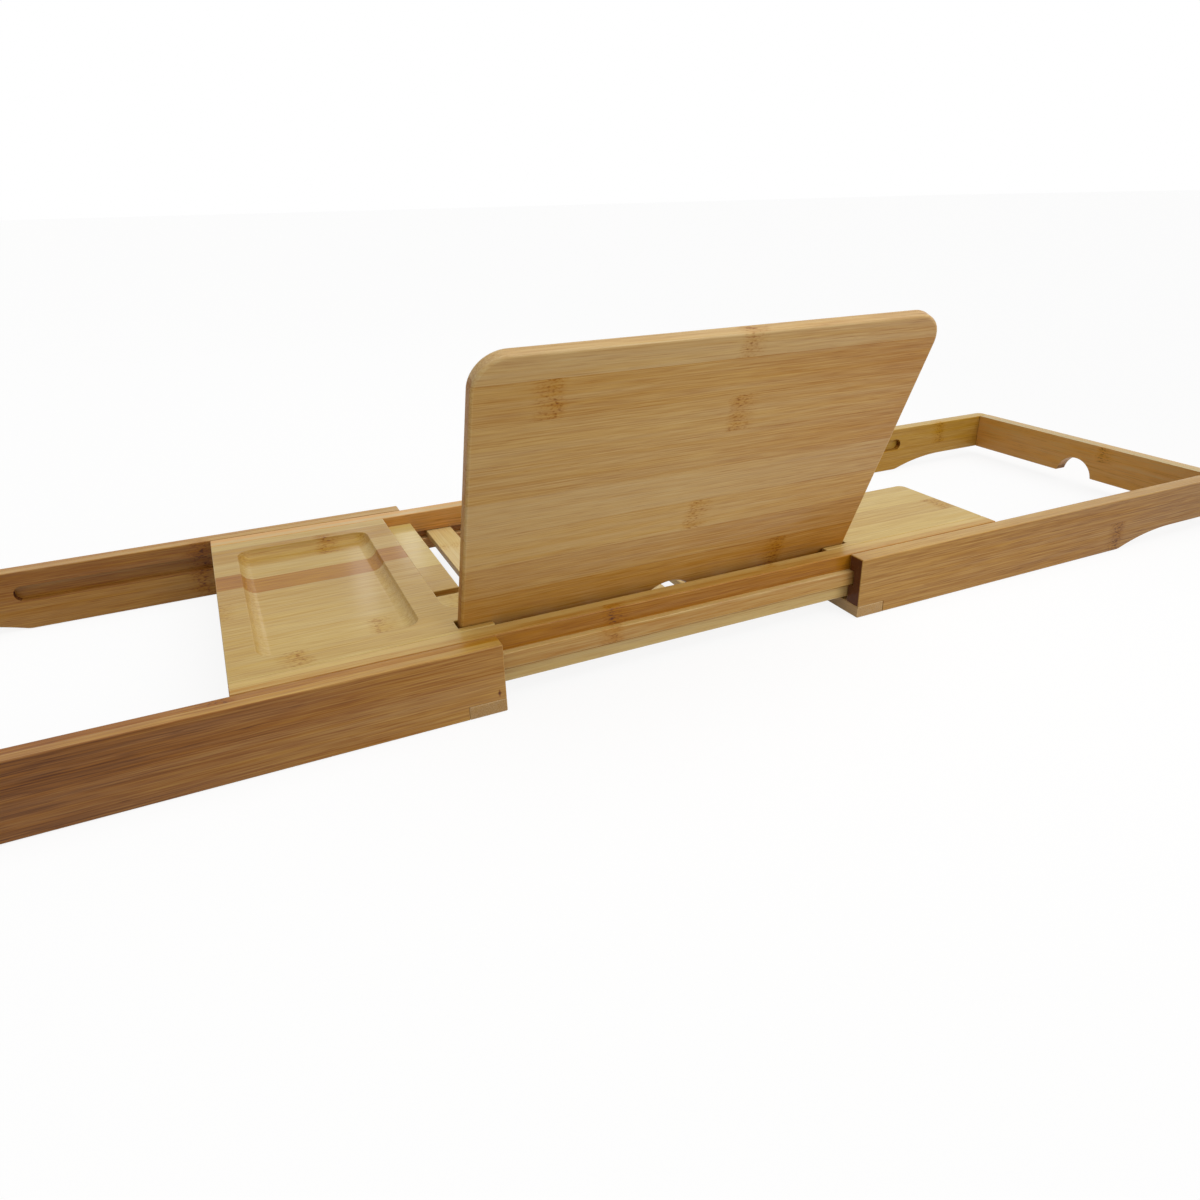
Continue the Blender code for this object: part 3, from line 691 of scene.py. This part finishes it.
def board_joint(a, b):
    """Edges of the glued tongue stay sharp."""
    return all(p.z < BOARD_TONGUE_TOP + TOUCH and abs(p.y) > tray_inner - 2 * TOUCH for p in (a, b))


recess_outer = half_tray - RECESS_END_MARGIN
recess_inner = ledge_side + RECESS_LAND
recess_reach = tray_inner - RECESS_SIDE_MARGIN


def coved(left, right, reach, floor, top):
    """What a round-nosed cutter and the sandpaper take out: a flat floor, a cove and an eased rim."""
    rim_drop = RIM_RADIUS * math.cos(RIM_END_SLOPE)
    steepest = math.acos((COVE_RADIUS + rim_drop - (top - floor)) / (COVE_RADIUS + RIM_RADIUS))
    cove_turns = [steepest * n / COVE_FACETS for n in range(COVE_FACETS + 1)]
    rim_steps = range(1, RIM_FACETS + 1)
    rim_turns = [steepest + (RIM_END_SLOPE - steepest) * n / RIM_FACETS for n in rim_steps]
    side = [(COVE_RADIUS * math.sin(t), floor + COVE_RADIUS * (1 - math.cos(t))) for t in cove_turns]
    out, up = side[-1]
    for t in rim_turns:
        further = out + RIM_RADIUS * (math.sin(steepest) - math.sin(t))
        side.append((further, up + RIM_RADIUS * (math.cos(t) - math.cos(steepest))))
    run = side[-1][0]
    shape = bmesh.new()
    rings = []
    for out, z in side + [(run, top + OVERRUN)]:
        inset = run - out
        corners = [
            (x, y, RECESS_CORNER_RADIUS - inset)
            for x, y in (
                (right - inset, inset - reach), (left + inset, inset - reach),
                (left + inset, reach - inset), (right - inset, reach - inset),
            )
        ]
        rings.append([shape.verts.new((p.x, p.y, z)) for p in outline_of(corners)])
    for lower, upper in zip(rings, rings[1:]):
        for n in range(len(lower)):
            shape.faces.new((lower[n - 1], lower[n], upper[n], upper[n - 1]))
    shape.faces.new(rings[0])
    shape.faces.new(rings[-1])
    bmesh.ops.recalc_face_normals(shape, faces=shape.faces)
    return shape


def slot_painted_shade(p):
    """How much painted shade a board's face at that point gets: only the upright slot's walls and
    floor are painted darker, for the shade inside the slot.
    """
    deep_enough = LEDGE_TOP - UPRIGHT_SLOT_DEPTH - TOUCH < p.z < LEDGE_TOP - TOUCH
    between = abs(p.y - ledge_front - UPRIGHT_SLOT_OFFSET) < PANEL_THICKNESS
    return SLOT_PAINTED_SHADE if deep_enough and between and abs(p.x) > half_bay + TOUCH else 0


def routed_board(name, side, cutter, face, back):
    """A finished board: its blank, with its own cut-out and the panel's seats taken out."""
    board = cut(board_blank(side), cutter, *panel_seats(side))
    finish = bamboo(
        name + "_bamboo", BOARD_COLOURS, face, back, LAYER_SPLIT, middle, order="XYZ", core=BOARD_CORE
    )
    return piece(name + "_routed", sanded(board, board_joint, painted_shading=slot_painted_shade), middle, finish)


recess = coved(-recess_outer, -recess_inner, recess_reach, rail_top - RECESS_DEPTH, rail_top)
soap_board = routed_board("soap_board", -1, recess, SOAP_FACE, SOAP_BACK)
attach(soap_board, "tray")
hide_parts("soap_board")

# Glass board. The right board, glued up like the soap board, with a round-ended slot from its outer
# end for the stem of a wine glass, and the same ledge and slots for the panel at its inner end.

GLASS_SLOT_RADIUS = 0.0195
GLASS_SLOT_DEPTH = 0.058
GLASS_MOUTH_RADIUS = 0.005
GLASS_FACE = [
    (-0.12, 0.7), (-0.0985, 0.8), (-0.074, 0.68, 0.229), (-0.053, 0.84),
    (-0.03, 0.76, 0.15), (-0.009, 0.84), (0.012, 0.66, 0.202), (0.033, 0.8),
    (0.054, 0.58, 0.17), (0.076, 0.78),
]
GLASS_BACK = [
    (-0.12, 0.72), (-0.062, 0.84, 0.112), (-0.033, 0.6), (-0.012, 0.78),
    (0.011, 0.66, 0.12), (0.033, 0.84), (0.056, 0.72), (0.078, 0.86),
]
slot_inner = half_tray - GLASS_SLOT_DEPTH
slot_outer = half_tray + OVERRUN
slot_flare = GLASS_SLOT_RADIUS + GLASS_MOUTH_RADIUS
half = [
    (slot_inner, GLASS_SLOT_RADIUS, GLASS_SLOT_RADIUS),
    (half_tray, GLASS_SLOT_RADIUS, GLASS_MOUTH_RADIUS),
    (half_tray, slot_flare, 0),
    (slot_outer, slot_flare, 0),
]
glass_corners = [(x, -y, radius) for x, y, radius in half] + half[::-1]
glass_slot = planed(outline_of(glass_corners), "Z", board_bottom - OVERRUN, rail_top + OVERRUN)
glass_board = routed_board("glass_board", 1, glass_slot, GLASS_FACE, GLASS_BACK)
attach(glass_board, "tray")
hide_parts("glass_board")

# Stop pegs. Four short bamboo dowels, glued up into the tray rails, that the arms' cross strips meet
# when the arms are pulled right out.

PEG_EDGE_RADIUS = 0.0004
PEG_SIDES = 32
PEG_STRIPS = [(-0.2, 0.55)]


def cylinder(sides, radius, length):
    """A round bar about the origin."""
    return radius.node(
        "GeometryNodeMeshCylinder", {}, {"Vertices": sides, "Radius": radius, "Depth": length}
    )


peg_size = peg_boxes[0][1] - peg_boxes[0][0]
peg_spread = Vector([max(places) - min(places) for places in zip(*peg_middles)])
peg_bamboo = bamboo("peg_bamboo", SLAT_COLOURS, PEG_STRIPS, centre=middle, order="ZXY")
corners, given = tree_of(
    "pegs_at_corners", Centre="Vector", Spread="Vector", Radius="Float", Length="Float"
)
wide, deep = [corners.node("SeparateXYZ", {}, {0: given["Spread"]}, out=axis) for axis in (0, 1)]
grid = corners.node(
    "GeometryNodeMeshGrid", {}, {"Vertices X": 2, "Vertices Y": 2, "Size X": wide, "Size Y": deep}
)
moved = corners.node("GeometryNodeTransform", {}, {"Geometry": grid, "Translation": given["Centre"]})
set_out(moved, cylinder(PEG_SIDES, given["Radius"], given["Length"]), given["Material"])
pegs = grow(
    "stop_pegs", corners.tree,
    {
        "Centre": sum(peg_middles, start=Vector()) / len(peg_middles),
        "Spread": peg_spread, "Radius": peg_size.x / 2, "Length": peg_size.z,
        "Material": peg_bamboo,
    },
    PEG_EDGE_RADIUS,
)
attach(pegs, "tray")
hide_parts(*PEGS)

# Arm rails. Each arm has two long rails, routed inside for the tray's tongue, scooped below where
# they sit on the bath, and finger-cut at the outer end. Their two layers show along the top edge.

ARM_THICKNESS = 0.011
SCOOP_START = 0.112
SCOOP_RISE = 0.009
SCOOP_SLOPE = math.radians(18)
SCOOP_CURVE_SHARE = 0.92
SCOOP_EASE_SHARE = 0.06
FINE_TURN = 2
CORNER_RADIUS = 0.005
CORNER_FACETS = 8
GROOVE = (0.019, 0.0288)
GROOVE_DEPTH = 0.0047
GROOVE_SPARE = 0.004
# Painted light on the arm groove's floor, and painted shade on its walls
GROOVE_PAINTED_LIGHT = 1.0
GROOVE_WALL_PAINTED_SHADE = 3.0
FINGER_COUNT = 3
STRIP_WIDTH = 0.02
STRIP_THICKNESS = 0.0075
STRIP_GAP = 0.0001
ARMS = (("left_arm", -1), ("right_arm", 1))
ARM_COLOURS = {
    "left_arm": ((84, 42, 12), (147, 94, 37), (181, 135, 65), (215, 182, 94)),
    "right_arm": ((91, 49, 16), (153, 107, 46), (187, 146, 76), (211, 186, 113)),
}
ARM_EDGE_TONES = {"left_arm": 0.27, "right_arm": 0.2}
LEFT_FLECK = (-0.0037, 0.0115)
# Fade, outer layer and inner layer of each front (-1) and rear (1) rail. The fade is painted shade:
# it paints each rail darker towards one end, where less light falls on it.
ARM_STRIPS = {
    ("left_arm", -1): (
        -0.3, [(0, 0.55, None, -0.05), (0.021, 0.47)], [(0, 0.4), (0.028, 0.3, -0.129, 0.12)],
    ),
    ("left_arm", 1): (
        -0.1, [(0, 0.52, -0.12), (0.02, 0.36, None, 0.1)], [(0, 0.58, -0.133), (0.018, 0.45, -0.132)],
    ),
    ("right_arm", -1): (0.1, [(0, 0.42, 0.2345), (0.0215, 0.42)], [(0, 0.44), (0.023, 0.44)]),
    ("right_arm", 1): (
        0, [(0, 0.52, 0.11), (0.0205, 0.6)], [(0, 0.57, None, 0.15), (0.019, 0.6, 0.29, 0.15)],
    ),
}
half_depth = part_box("left_arm_end_rail")[1].y - middle.y
arm_inner = half_depth - ARM_THICKNESS
finger = (rail_top - SCOOP_RISE) / FINGER_COUNT
finger_heights = [SCOOP_RISE + finger * n for n in range(FINGER_COUNT + 1)]
arm_places = {}

for label, side in ARMS:
    low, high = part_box(f"{label}_front_rail")
    arm_length = high.x - low.x
    at = Vector((high.x if side < 0 else low.x, middle.y, 0))
    arm_places[label] = at
    run = SCOOP_RISE / math.sin(SCOOP_SLOPE)
    bend = math.tan(SCOOP_SLOPE / 2)
    scoop_from = arm_length - SCOOP_START
    housing = (STRIP_WIDTH + STRIP_GAP, STRIP_THICKNESS + STRIP_GAP)
    corners = [
        (0, housing[1], 0),
        (housing[0], housing[1], 0),
        (housing[0], 0, 0),
        (scoop_from, 0, run * SCOOP_EASE_SHARE / bend),
        (scoop_from + run * math.cos(SCOOP_SLOPE), SCOOP_RISE, run * SCOOP_CURVE_SHARE / bend),
        (arm_length, SCOOP_RISE, 0),
        (arm_length, rail_top, 0),
        (0, rail_top, 0),
    ]
    profile = [(side * p.x, p.y) for p in outline_of(corners, FINE_TURN)]
    radius = (GROOVE[1] - GROOVE[0]) / 2
    groove_end = half_tray + GROOVE_SPARE
    track = [
        (-OVERRUN, GROOVE[0], 0), (groove_end, GROOVE[0], radius),
        (groove_end, GROOVE[1], radius), (-OVERRUN, GROOVE[1], 0),
    ]
    track = [(side * p.x, p.y) for p in outline_of(track)]
    shoulder = arm_length - ARM_THICKNESS - TOUCH
    track_floor = arm_inner + GROOVE_DEPTH
    for place, wall in (("front", -1), ("rear", 1)):
        rail = planed(profile, "Y", wall * arm_inner, wall * half_depth)
        tip = Vector((side * arm_length, wall * half_depth))
        rounded(
            rail, CORNER_RADIUS, CORNER_FACETS,
            lambda edge, a, b: all((p.xy - tip).length < TOUCH for p in (a, b)),
        )
        socket = block(
            (side * shoulder, wall * (arm_inner - OVERRUN), finger_heights[1]),
            (side * (arm_length + OVERRUN), wall * (half_depth + OVERRUN), finger_heights[2]),
        )
        groove = planed(track, "Y", wall * (arm_inner - OVERRUN), wall * track_floor)
        rail = cut(rail, groove, socket)

        def in_groove(p):
            high_enough = GROOVE[0] - TOUCH < p.z < GROOVE[1] + TOUCH
            inside = arm_inner - TOUCH < abs(p.y) < track_floor + TOUCH
            return high_enough and inside and abs(p.x) < groove_end + TOUCH

        def groove_painted_shading(p):
            """Painted light makes the groove's floor paler, and painted shade makes its walls darker.
            """
            if not in_groove(p):
                return 0
            return -GROOVE_PAINTED_LIGHT if abs(p.y) > track_floor - TOUCH else GROOVE_WALL_PAINTED_SHADE

        def in_joint(a, b):
            """Edges of the glued joints, the housing and the groove stay sharp."""
            ends = (a, b)
            at_end = all(abs(p.x) > shoulder - TOUCH for p in ends)
            at_socket = any(finger_heights[1] - TOUCH < p.z < finger_heights[2] + TOUCH for p in ends)
            at_end_rail = all(abs(p.y) < arm_inner + TOUCH for p in ends)
            housed = all(abs(p.x) < housing[0] + TOUCH and p.z < housing[1] + TOUCH for p in ends)
            grooved = all(in_groove(p) for p in ends)
            return housed or grooved or (at_end and (at_socket or at_end_rail))

        fade, outer, inner = ARM_STRIPS[label, wall]
        strips = (outer, inner) if wall > 0 else (inner, outer)
        name = f"{label}_{place}_rail"
        split = wall * (half_depth - ARM_THICKNESS / 2)
        finish = bamboo(
            name, ARM_COLOURS[label], *strips, split=split, centre=at,
            edge_tone=ARM_EDGE_TONES[label],
            fade=fade, fleck=LEFT_FLECK if (side, wall) == (-1, -1) else None,
        )
        rail = sanded(rail, in_joint, painted_shading=groove_painted_shading)
        rail = piece(name + "_shaped", rail, at, finish)
        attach(rail, label)
        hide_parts(name)

# End rails. Each closes an arm's outer end, finger-jointed and glued to the long rails, with a round
# notch in the lower edge that lifts the arm over a tap or a hand grip.

ARCH_RADIUS = 0.0167
ARCH_CENTRE_DROP = 0.0023
# The right end rail's colours and its inner strips' tones are painted paler: painted light on its
# inner face, which the lamps barely reach
END_COLOURS = {
    "left_arm": ARM_COLOURS["left_arm"],
    "right_arm": ((91, 49, 16), (153, 107, 46), (218, 163, 90), (190, 170, 120)),
}
END_EDGE_TONES = {"left_arm": 0.15, "right_arm": 0.36}
END_STRIPS = {
    "left_arm": ([(0, 0.52, 0.06), (0.0235, 0.6)], [(0, 0.54), (0.025, 0.58, -0.05)]),
    "right_arm": (
        [(0, 0.42, -0.06), (0.0235, 0.48)], [(0, 0.6, None, 0.1), (0.025, 0.64, -0.022, 0.1)],
    ),
}


def arch(radius, drop):
    """A round notch's arc as (across, up) points from right to left, its centre below the edge."""
    rise = math.asin(drop / radius)
    steps = math.ceil(math.degrees(math.pi - 2 * rise) / ARC_TURN)
    turns = [rise + (math.pi - 2 * rise) * step / steps for step in range(steps + 1)]
    return [(radius * math.cos(t), radius * math.sin(t) - drop) for t in turns]


for label, side in ARMS:
    at = arm_places[label]
    shoulder = arm_inner - TOUCH
    low, high = (finger_heights[1] + TOUCH, finger_heights[2] - TOUCH)
    half = [
        (shoulder, finger_heights[0]), (shoulder, low), (half_depth, low), (half_depth, high),
        (shoulder, high), (shoulder, finger_heights[3]),
    ]
    notch = [(y, SCOOP_RISE + z) for y, z in arch(ARCH_RADIUS, ARCH_CENTRE_DROP)]
    outline = half + [(-y, z) for y, z in reversed(half)] + notch[::-1]
    inner, outer = (side * (arm_length - ARM_THICKNESS), side * arm_length)
    rail = planed(outline, "X", inner, outer)
    rounded(
        rail, CORNER_RADIUS, CORNER_FACETS,
        lambda edge, a, b: all(
            abs(p.x - outer) < TOUCH and abs(abs(p.y) - half_depth) < TOUCH for p in (a, b)
        ),
    )
    rail = sanded(rail, lambda a, b: all(abs(p.y) > shoulder - TOUCH for p in (a, b)))
    strips = END_STRIPS[label] if side > 0 else END_STRIPS[label][::-1]
    split = side * (arm_length - ARM_THICKNESS / 2)
    name = f"{label}_end_rail"
    finish = bamboo(
        name, END_COLOURS[label], *strips, split=split, centre=at, order="YZX",
        edge_tone=END_EDGE_TONES[label],
    )
    rail = piece(name + "_shaped", rail, at, finish)
    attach(rail, label)
    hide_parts(name)

# Cross strips. A flat strip lies under each arm's inner end, its ends let into both long rails and
# drilled for two countersunk screws. It keeps the arm square and carries it along the tray.

STRIP_EDGE_RADIUS = 0.0006
SCREW_HEAD_RADIUS = 0.0035
SCREW_SHANK_RADIUS = 0.00175
SCREW_SINK = 0.0003
SCREW_RIM = 0.0004
STRIP_COLOURS = ((112, 77, 38), (162, 125, 76), (190, 157, 107), (209, 182, 132))
CROSS_STRIPS = [(-0.03, 0.65, 0.04)]

for label, side in ARMS:
    at = arm_places[label]
    strip = block((0, -half_depth, 0), (side * STRIP_WIDTH, half_depth, STRIP_THICKNESS))
    bores = [Vector((side * STRIP_WIDTH / 2, y * (half_depth - ARM_THICKNESS / 2))) for y in (-1, 1)]
    mouth = SCREW_HEAD_RADIUS + TOUCH
    shank = SCREW_SHANK_RADIUS + TOUCH
    rim = SCREW_SINK + SCREW_RIM + TOUCH
    bore = [
        (0, -OVERRUN), (mouth, -OVERRUN), (mouth, rim), (shank, rim + mouth - shank),
        (shank, STRIP_THICKNESS + OVERRUN), (0, STRIP_THICKNESS + OVERRUN),
    ]
    strip = cut(strip, *[turned(bore, place) for place in bores])

    def at_bore(a, b):
        return any((a.xy - place).length < mouth + TOUCH for place in bores)

    strip_bamboo = bamboo(f"{label}_cross_strip", STRIP_COLOURS, CROSS_STRIPS, centre=at, order="YXZ")
    strip = sanded(strip, at_bore, STRIP_EDGE_RADIUS)
    strip = piece(f"{label}_cross_strip_bored", strip, at, strip_bamboo)
    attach(strip, label)
    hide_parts(f"{label}_cross_strip")

# Strip screws. Two countersunk steel wood screws hold each cross strip from below. The head has a
# cross recess, and the shank goes up into the long rail.

SCREW_CROSS_LENGTH = 0.0042
SCREW_CROSS_WIDTH = 0.001
SCREW_CROSS_DEPTH = 0.0014
SCREW_SIDES = 48
SCREW_EDGE_RADIUS = 0.00008
SCREW_EDGE_FACETS = 2
# Scale and octaves
SCRATCH = (2600, 3)
BLOOM = (420, 2)
STEEL_COLOURS = [(0.25, seen(120, 116, 106)), (0.75, seen(196, 194, 186))]
STEEL_ROUGHNESS = 0.22
BLOOM_SHARE = 0.6
SCRATCH_ROUGHNESS = 0.25
SCRATCH_RELIEF = 0.25
SCRATCH_DEPTH = 0.0001


def brushed_steel():
    """Zinc-plated steel with a cloudy bloom and fine scratches."""
    material = bpy.data.materials.new("screw_steel")
    material.use_nodes = True
    shader = material.node_tree.nodes["Principled BSDF"]
    start = Socket(material.node_tree)
    spot = start.node("TexCoord", out="Object")
    scratch, bloom = [
        start.node("TexNoise", {}, {"Vector": spot, "Scale": scale, "Detail": detail})
        for scale, detail in (SCRATCH, BLOOM)
    ]
    tone = bloom * BLOOM_SHARE + scratch * (1 - BLOOM_SHARE)
    colour = start.node("ValToRGB", {"stops": ("LINEAR", STEEL_COLOURS)}, {0: tone})
    rough = STEEL_ROUGHNESS + scratch * SCRATCH_ROUGHNESS
    bump = start.node(
        "Bump", {}, {"Strength": SCRATCH_RELIEF, "Distance": SCRATCH_DEPTH, "Height": scratch}
    )
    start.feed(shader, {"Base Color": colour, "Roughness": rough, "Normal": bump, "Metallic": 1})
    return material


steel = brushed_steel()
pair, given = tree_of(
    "pair_of_screws", First="Vector", Step="Vector", Head="Float", Shank="Float", Rim="Float",
    Length="Float",
)


def raised(shape, height):
    """A shape lifted by that height."""
    lift = pair.node("CombineXYZ", {}, {"Z": height})
    return pair.node("GeometryNodeTransform", {}, {"Geometry": shape, "Translation": lift})


def joined(operation, meshes):
    """What a Boolean node makes of those meshes."""
    return pair.node("GeometryNodeMeshBoolean", {"operation": operation, "solver": "EXACT"}, meshes)


head, shank, rim, length = [given[size] for size in ("Head", "Shank", "Rim", "Length")]
cone = pair.node(
    "GeometryNodeMeshCone", {},
    {"Vertices": SCREW_SIDES, "Radius Top": shank, "Radius Bottom": head, "Depth": head - shank},
)
whole = joined("UNION", {"Mesh 2": [
    raised(cylinder(SCREW_SIDES, head, rim), rim * 0.5),
    raised(cone, rim),
    raised(cylinder(SCREW_SIDES, shank, length), length * 0.5),
]})
wide, narrow, deep_cut = (SCREW_CROSS_LENGTH, SCREW_CROSS_WIDTH, 2 * SCREW_CROSS_DEPTH)
crosses = [
    pair.node("GeometryNodeMeshCube", {}, {"Size": size})
    for size in ((wide, narrow, deep_cut), (narrow, wide, deep_cut))
]
slotted = joined("DIFFERENCE", {"Mesh 1": whole, "Mesh 2": crosses})
set_out(in_line(given, 2), slotted, given["Material"], smooth=False)

for label, side in ARMS:
    low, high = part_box(f"{label}_front_screw")
    first = (low + high) / 2
    step = sum(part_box(f"{label}_rear_screw"), start=Vector()) / 2 - first
    first.z = low.z
    screws = grow(
        f"{label}_screws", pair.tree,
        {
            "First": first, "Step": step, "Head": SCREW_HEAD_RADIUS, "Shank": SCREW_SHANK_RADIUS,
            "Rim": SCREW_RIM, "Length": high.z - low.z, "Material": steel,
        },
        SCREW_EDGE_RADIUS, SCREW_EDGE_FACETS,
    )
    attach(screws, label)
    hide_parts(f"{label}_front_screw", f"{label}_rear_screw")

# Book panel. One loose board, 7 mm thick, glued up from eight flat strips and rounded at its top
# corners. It stands in the slanted slot by its lower edge, or lies flat on the ledges when stowed.

PANEL_HEIGHT = 0.165
PANEL_CORNER_RADIUS = 0.017
PANEL_EDGE_RADIUS = 0.0015
PANEL_NOTCH_RADIUS = 0.016
PANEL_NOTCH_HEIGHT = 0.0076
PANEL_COLOURS = ((126, 76, 27), (174, 125, 63), (201, 162, 97), (218, 192, 134))
PANEL_FADE = 0.26
PANEL_STRIPS = [
    (0, 0.42, 0.07, 0.1), (0.0265, 0.46), (0.047, 0.59, 0.002), (0.0675, 0.59, None, -0.1),
    (0.089, 0.5), (0.11, 0.54, 0.012), (0.131, 0.48, -0.086, 0.05), (0.152, 0.58, 0.007, -0.1),
]
panel_corners = [
    (panel_half, 0, 0), (panel_half, PANEL_HEIGHT, PANEL_CORNER_RADIUS),
    (-panel_half, PANEL_HEIGHT, PANEL_CORNER_RADIUS), (-panel_half, 0, 0),
]
notch = arch(PANEL_NOTCH_RADIUS, PANEL_NOTCH_RADIUS - PANEL_NOTCH_HEIGHT)
panel_outline = outline_of(panel_corners) + notch[::-1]
panel = sanded(planed(panel_outline, "Y", 0, PANEL_THICKNESS), radius=PANEL_EDGE_RADIUS)
for vert in panel.verts:
    y, z = panel_point(vert.co.z, vert.co.y)
    vert.co = (vert.co.x, y, z)
foot = middle + Vector((0, *panel_foot))
panel_bamboo = bamboo(
    "panel_bamboo", PANEL_COLOURS, PANEL_STRIPS, centre=foot, lean=LEAN, fade=PANEL_FADE
)
panel = piece("book_panel_sanded", panel, middle, panel_bamboo)
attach(panel, "panel")
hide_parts("book_panel")

# Floor and light. A plain white sweep under a broad soft lamp from above, with a weak softbox in
# front and two small ones low behind, which shine in the lacquer. The sweep and what is behind it
# look white.

FLOOR_SIZE = 40.0
FLOOR_THICKNESS = 0.01
FLOOR_DROP = 0.0005
FLOOR_GLOW = 0.87
FLOOR_BOUNCE = (0.6, 0.58, 0.54, 1)
FLOOR_ROUGHNESS = 0.5
SKY_LEVEL = 0.38
SKY_TINT = (1, 0.985, 0.965, 1)
WHITE = (1, 1, 1, 1)
# Strength, size, spread in degrees, place and the point it is aimed at. The overhead light is a sun,
# which has no size, and its spread is the angle it takes up in the sky.
LAMPS = {
    "overhead_light": (1.5, None, 70, (0.8, -0.5, 3.0), (0, 0, 0)),
    "front_softbox": (0.5, (0.5, 0.5), 60, (0.45, -0.85, 0.4), (0.12, -0.1, 0.05)),
    "back_strip": (0.06, (0.04, 0.15), 120, (0.022, 1.396, 0.6245), (-0.16, 0.03, 0.03)),
    "back_window": (0.05, (0.05, 0.07), 120, (0.148, 1.433, 0.574), (-0.12, 0.06, 0.03)),
}

sweep = block((-FLOOR_SIZE, -FLOOR_SIZE, -FLOOR_THICKNESS), (FLOOR_SIZE, FLOOR_SIZE, -FLOOR_DROP))
floor = held(sweep, "floor")
floor_white = bpy.data.materials.new("floor_white")
floor_white.use_nodes = True
start = Socket(floor_white.node_tree)


def seen_directly(tree):
    """1 for the camera's rays and for those that gloss or glass sends on, 0 for other light."""
    kinds = ("Camera", "Glossy", "Transmission")
    rays = [tree.node("LightPath", out=f"Is {kind} Ray") for kind in kinds]
    return (rays[0] + rays[1] + rays[2]).kept()


bounce, lit = [
    start.node("BsdfDiffuse", {}, {"Color": colour, "Roughness": FLOOR_ROUGHNESS})
    for colour in (FLOOR_BOUNCE, WHITE)
]
glow = start.node("Emission", {}, {"Color": WHITE, "Strength": 1})
white = start.node("MixShader", {}, {0: FLOOR_GLOW, 1: lit, 2: glow})
both = start.node("MixShader", {}, {0: seen_directly(start), 1: bounce, 2: white})
start.feed(floor_white.node_tree.nodes["Material Output"], {"Surface": both})
floor.data.materials.append(floor_white)

world = bpy.data.worlds.new("studio")
bpy.context.scene.world = world
world.use_nodes = True
sky = Socket(world.node_tree)
backdrop = sky.node("Background", {}, {"Color": WHITE, "Strength": 1})
ambient = sky.node("Background", {}, {"Color": SKY_TINT, "Strength": SKY_LEVEL})
studio = sky.node("MixShader", {}, {0: seen_directly(sky), 1: ambient, 2: backdrop})
sky.feed(world.node_tree.nodes["World Output"], {"Surface": studio})

for name, (strength, size, spread, place, target) in LAMPS.items():
    lamp = bpy.data.lights.new(name, "AREA" if size else "SUN")
    lamp.energy = strength
    if size:
        lamp.shape = "RECTANGLE"
        lamp.size, lamp.size_y = size
        lamp.spread = math.radians(spread)
    else:
        lamp.angle = math.radians(spread)
    thing = laid_down(name, lamp)
    thing.location = place
    thing.rotation_euler = (Vector(target) - thing.location).to_track_quat("-Z", "Y").to_euler()

# Camera. It stands in front and to the left of the caddy, a little above it, as in the photograph.
# Its place and turn were worked out from the caddy's own edges and corners.

CAMERA_PLACE = Vector((-0.2218, -0.4628, 0.2395))
YAW = 0.42881
PITCH = -0.41804
ROLL = -0.024473
FOCAL = 25.5
SENSOR_WIDTH = 36
CLIP = (0.01, 200)
SHIFT = (-0.0029, -0.0198)

ahead = Vector((math.sin(YAW) * math.cos(PITCH), math.cos(YAW) * math.cos(PITCH), math.sin(PITCH)))
right = Vector((math.cos(YAW), -math.sin(YAW), 0))
up = right.cross(ahead)
level = math.cos(ROLL) * right + math.sin(ROLL) * up
upright = math.cos(ROLL) * up - math.sin(ROLL) * right
lens = bpy.data.cameras.new("camera")
lens.lens = FOCAL
lens.sensor_width = SENSOR_WIDTH
lens.clip_start, lens.clip_end = CLIP
lens.shift_x, lens.shift_y = SHIFT
camera = laid_down("camera", lens)
for column, axis in enumerate((level, upright, -ahead, CAMERA_PLACE)):
    for line in range(3):
        camera.matrix_world[line][column] = axis[line]
bpy.context.scene.camera = camera
bpy.context.scene.view_settings.view_transform = "Standard"
